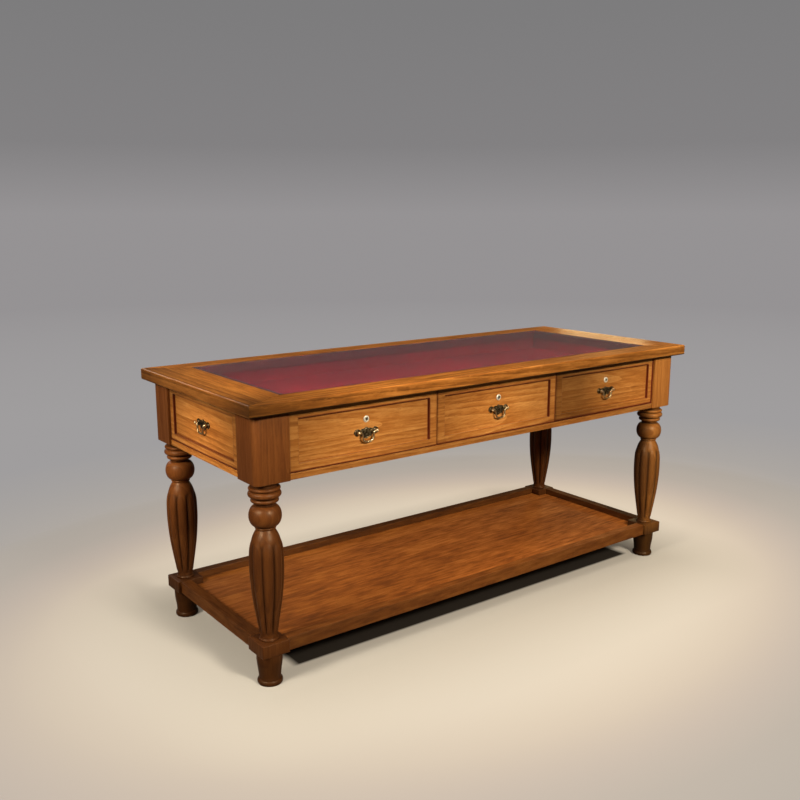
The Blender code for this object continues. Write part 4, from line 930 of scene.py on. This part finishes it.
def hingePiece(name, s, odd, pose, body, node):
    pitch = 2 * s.half / s.knuckles
    grids = barGrids(leafSection(s), -s.half, s.half)
    section = knuckleSection(s)
    for k in range(odd, s.knuckles, 2):
        low = k * pitch - s.half + s.gap / 2
        grids += barGrids(section, low, low + pitch - s.gap)
    head = screwHead(s.screwRadius)
    middle = (s.leafTop + s.leafLow) / 2 - s.screwDrop
    last = s.half - s.screwEnd
    for x in np.linspace(-last, last, s.screws):
        grids.append((head + np.array([x, -s.outer + s.thick, middle]), False))
    grids = [(pose(points), closed) for points, closed in grids]
    addPiece(name, grids, brass, body, [node], 30)


hinge = Names(**hingeShape)
hingeAxis = np.array(jointAt["lid_hinge"])
hingePiece("hingeCaseLeaf", hinge, 0, lambda p: p + hingeAxis, "case", "hinge_case_leaf")
# the lid's leaf lies flat under the lid: its strip runs back from the pin
hingePiece(
    "hingeLidLeaf", hinge, 1,
    lambda p: joined(p[..., 0], -p[..., 2], -p[..., 1]) + hingeAxis, "lid", "hinge_lid_leaf",
)
print("hinge made")


# Velvet on the floor of the well: a sheet laid flat, a little full, its edges turned down

velvetShape = {
    "rows": 90, "cols": 220, "turnDown": 0.004, "drop": 0.0012,
    "fullness": 0.0005, "calmEdge": 0.05, "thickness": 0.0022,
}


# Height over the floor's plan: level, with slow low swells, rounded down at the four edges.
def velvetSheet(s):
    low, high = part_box("velvet_floor")
    easeX, easeY = (0.5 - 0.5 * np.cos(np.linspace(0.0, math.pi, count)) for count in (s.cols, s.rows))
    x = low.x + (high.x - low.x) * easeX[:, None]
    y = low.y + (high.y - low.y) * easeY[None, :]
    edge = np.minimum(np.minimum(x - low.x, high.x - x), np.minimum(y - low.y, high.y - y))
    drop = s.drop * (1 - np.clip(edge / s.turnDown, 0.0, 1.0)) ** 2
    swell = np.sin(5.1 * x + 1.3 * np.sin(3.7 * y)) * np.sin(7.3 * y + 0.9 * np.sin(2.9 * x))
    z = high.z - s.fullness - drop + s.fullness * swell * np.clip(edge / s.calmEdge, 0.0, 1.0)
    return joined(x + 0.0 * y, y + 0.0 * x, z), (high.x - low.x, high.y - low.y)


sheetPoints, sheetSize = velvetSheet(Names(**velvetShape))
sheet = [(sheetPoints, False)]
velvetFloor = addPiece("velvetFloor", sheet, maroonVelvet, "case", ["velvet_floor"], 60)
pile = velvetFloor.modifiers.new("Pile", "SOLIDIFY")
pile.thickness = velvetShape["thickness"]
pile.offset = -1.0
print("velvet laid:", sheetSize)


# Stage: pale floor with a painted pool of light, glowing from the floor itself, that fades into a grey
# backdrop; painted shade across it and a painted shadow under the shelf

stageLook = {
    "near": (0.56, 0.512, 0.435), "rim": (0.303, 0.29, 0.296), "sky": (0.225, 0.218, 0.222),
    "top": (0.205, 0.202, 0.205), "dim": (0.86, 0.88, 0.91), "bounced": (0.16, 0.14, 0.11),
    "poolSize": (1.6, 1.15), "poolReach": 2.5, "rimFrom": 4.0, "rimTo": 12.0,
    "pool": (  # painted pool of light: share of the pool's reach from its middle, colour there
        (0.2, (0.8, 0.68, 0.52)), (0.3, (0.88, 0.745, 0.57)), (0.38, (0.74, 0.605, 0.46)),
        (0.44, (0.59, 0.49, 0.415)), (0.5, (0.5, 0.44, 0.378)), (0.64, (0.402, 0.375, 0.35)),
        (0.9, (0.352, 0.34, 0.342)),
    ),
    "shade": {  # painted shadow under the shelf
        "middle": 0.026, "half": 0.805, "sideEdge": 0.03, "front": -0.267, "frontEdge": 0.012,
        "back": (0.0, 0.3), "tone": (0.01, 0.006, 0.003), "share": 0.97,
    },
    # dimWay and dimReach: painted shade across the floor; evenFrom, glowFrom and bouncedGlow shape the
    # painted pool
    "dimWay": (0.8, -0.6), "dimReach": (-1.7, 0.5), "evenFrom": (1.0, 1.6), "glowFrom": (0.9, 1.5),
    "bouncedGlow": 0.15,
    "plan": (0.93, 0.4), "shadowReach": (0.02, 0.42), "shadowKept": (0.1, 0.86),  # round the table: the share of the painted glow, so that real shadows stay near the table
    "room": ((0.016, 0.015, 0.015), (0.055, 0.045, 0.032)), "brightWay": (0.85, 0.51, 0.13),
    "softLight": (1.0, 0.93, 0.82, 1.0), "softStrength": 0.13,
}
white = (1.0, 1.0, 1.0)


# How far a place lies outside a rectangle along one axis; negative inside it.
def beyond(value, middle, half):
    return calc("SUBTRACT", calc("ABSOLUTE", calc("SUBTRACT", value, middle)), half)


def makeStage(look):
    mesh = bpy.data.meshes.new("floor")
    reach = 60.0
    corners = [(-reach, -reach, 0), (reach, -reach, 0), (reach, reach, 0), (-reach, reach, 0)]
    mesh.from_pydata(corners, [], [(0, 1, 2, 3)])
    floor = addObject("floor", mesh)
    material, tree, shader = newMaterial("floorPaint", Roughness=0.9, Specular_IOR_Level=0.1)
    place = objectPlace(tree)
    axes = axesOf(place)
    away = addNode("VectorMath", {0: place}, operation="LENGTH")["Value"]
    oval = stretched(place, (1 / look.poolSize[0], 1 / look.poolSize[1], 0.0))
    fromPool = addNode("VectorMath", {0: oval}, operation="LENGTH")["Value"]
    under = Names(**look.shade)
    # painted shadow under the shelf, hard at its front edge and soft behind
    shade = spread(beyond(axes["X"], under.middle, under.half), 0.0, under.sideEdge, 1.0, 0.0)
    shade = times(shade, spread(axes["Y"], under.front - under.frontEdge, under.front))
    shade = times(shade, spread(axes["Y"], *under.back, 1.0, 0.0))
    pool = ramp(calc("DIVIDE", fromPool, look.poolReach), look.pool, "B_SPLINE")
    pool = blend(spread(away, look.rimFrom, look.rimTo), pool, look.rim)
    # painted shade across the floor, darker towards the left and back
    across = calc("MULTIPLY_ADD", axes["X"], look.dimWay[0], times(axes["Y"], look.dimWay[1]))
    dimmer = blend(spread(across, *look.dimReach), look.dim, white)
    rays = addNode("LightPath", {}, tree)
    shownRay = calc("MAXIMUM", rays["Is Camera Ray"], rays["Is Transmission Ray"])
    colour = blend(1.0, look.near, dimmer, "MULTIPLY")
    colour = blend(times(shade, under.share), colour, under.tone)
    plug(shader.inputs["Base Color"], blend(shownRay, look.bounced, colour))
    # painted pool of light: the floor glows in the pool's colours, with the painted shade across it near the
    # pool's middle
    near = blend(spread(fromPool, *look.evenFrom), dimmer, white)
    lit = blend(1.0, pool, near, "MULTIPLY")
    strength = spread(shownRay, 0.0, 1.0, look.bouncedGlow, 1.0)
    glow = addNode("Emission", {"Color": lit, "Strength": strength})[0]
    # near the table the lit floor keeps its real shadows; further off the painted glow takes over, and none
    # under the painted shadow
    outX = calc("MAXIMUM", beyond(axes["X"], 0.0, look.plan[0]), 0.0)
    outY = calc("MAXIMUM", beyond(axes["Y"], 0.0, look.plan[1]), 0.0)
    out = calc("SQRT", calc("MULTIPLY_ADD", outX, outX, times(outY, outY)))
    fade = spread(out, *look.shadowReach, *look.shadowKept)
    fade = calc("MAXIMUM", fade, spread(fromPool, *look.glowFrom))
    fade = times(fade, calc("SUBTRACT", 1.0, shade))
    mixed = mixShaders(fade, shader.outputs[0], glow)
    plug(tree.nodes["Material Output"].inputs["Surface"], mixed)
    mesh.materials.append(material)


# Backdrop for the camera; reflections see a dim room with one bright side; the rest is soft light.
def makeWorld(look):
    world = bpy.data.worlds.new("backdrop")
    bpy.context.scene.world = world
    world.use_nodes = True
    tree = world.node_tree
    rays = addNode("LightPath", {}, tree)
    way = addNode("TexCoord", {}, tree)["Generated"]
    up = axesOf(way)["Z"]
    stops = ((0.0, look.rim), (0.35, look.sky), (1.0, look.top))
    sky = ramp(spread(up, 0.0, 0.2), stops)
    inputs = {0: way, 1: look.brightWay}
    bright = addNode("VectorMath", inputs, operation="DOT_PRODUCT")["Value"]
    room = blend(spread(bright, 0.9, 1.0), *look.room)
    seen = calc("MAXIMUM", rays["Is Camera Ray"], rays["Is Transmission Ray"])
    lights = {"soft": (look.softLight, look.softStrength), "room": (room, 1.0), "sky": (sky, 1.0)}
    for key, (colour, strength) in lights.items():
        lights[key] = addNode("Background", {"Color": colour, "Strength": strength}, tree)[0]
    mixed = mixShaders(rays["Is Glossy Ray"], lights["soft"], lights["room"])
    mixed = mixShaders(seen, mixed, lights["sky"])
    plug(tree.nodes["World Output"].inputs["Surface"], mixed)


lamps = {  # place, aim, width, height, watts, colour, soft edge
    "key": ((-0.3, -4.6, 3.1), (0.0, 0.0, 0.5), 1.3, 0.87, 288.0, (1.0, 0.92, 0.8), True),
    "fill": ((-3.9, -0.8, 2.6), (-0.6, 0.0, 0.6), 1.74, 1.45, 160.0, (1.0, 0.92, 0.8), True),
    "over": ((1.7, -0.4, 2.9), (0.9, -0.1, 0.9), 1.3, 1.3, 10.0, (1.0, 0.9, 0.74), True),
    "rim": ((3.94, 2.51, 1.25), (0.9, 0.1, 0.9), 0.7, 0.14, 4.2, (1.0, 0.74, 0.36), False),
    "back": ((-1.0, 4.2, 2.6), (0.0, 0.4, 0.7), 2.3, 1.74, 26.0, (1.0, 0.93, 0.84), True),
}
softEdge = (0.2, 0.5, 1.92, 0.0)  # two shares of the width off the centre, strength at each


# A soft lamp is an oval that dims to nothing at its rim.
def makeLamps():
    for name, (place, aim, width, height, watts, colour, soft) in lamps.items():
        lamp = bpy.data.lights.new(name, "AREA")
        lamp.shape = "ELLIPSE" if soft else "RECTANGLE"
        lamp.size, lamp.size_y = width, height
        lamp.energy = watts
        lamp.color = colour
        if soft:
            lamp.use_nodes = True
            tree = lamp.node_tree
            across = addNode("NewGeometry", {}, tree)["Parametric"]
            inputs = {0: across, 1: (0.5, 0.5, 0.0)}
            off = addNode("VectorMath", inputs, operation="DISTANCE")["Value"]
            plug(tree.nodes["Emission"].inputs["Strength"], spread(off, *softEdge))
        holder = addObject(name, lamp)
        holder.location = place
        holder.rotation_euler = (Vector(aim) - Vector(place)).to_track_quat("-Z", "Y").to_euler()
        holder.visible_camera = False


cameraView = {"place": (-2.1601, -2.6407, 1.4399), "heading": 0.6469, "pitch": 0.2032, "lens": 40.785}


def makeCamera(view):
    lens = bpy.data.cameras.new("camera")
    lens.lens = view["lens"]
    lens.sensor_width = 36.0
    holder = addObject("camera", lens)
    holder.location = view["place"]
    holder.rotation_euler = (math.pi / 2 - view["pitch"], 0.0, -view["heading"])
    bpy.context.scene.camera = holder


stage = Names(**stageLook)
makeStage(stage)
makeWorld(stage)
makeLamps()
makeCamera(cameraView)
bpy.context.scene.view_settings.view_transform = "Standard"
print("stage, lamps and camera set")
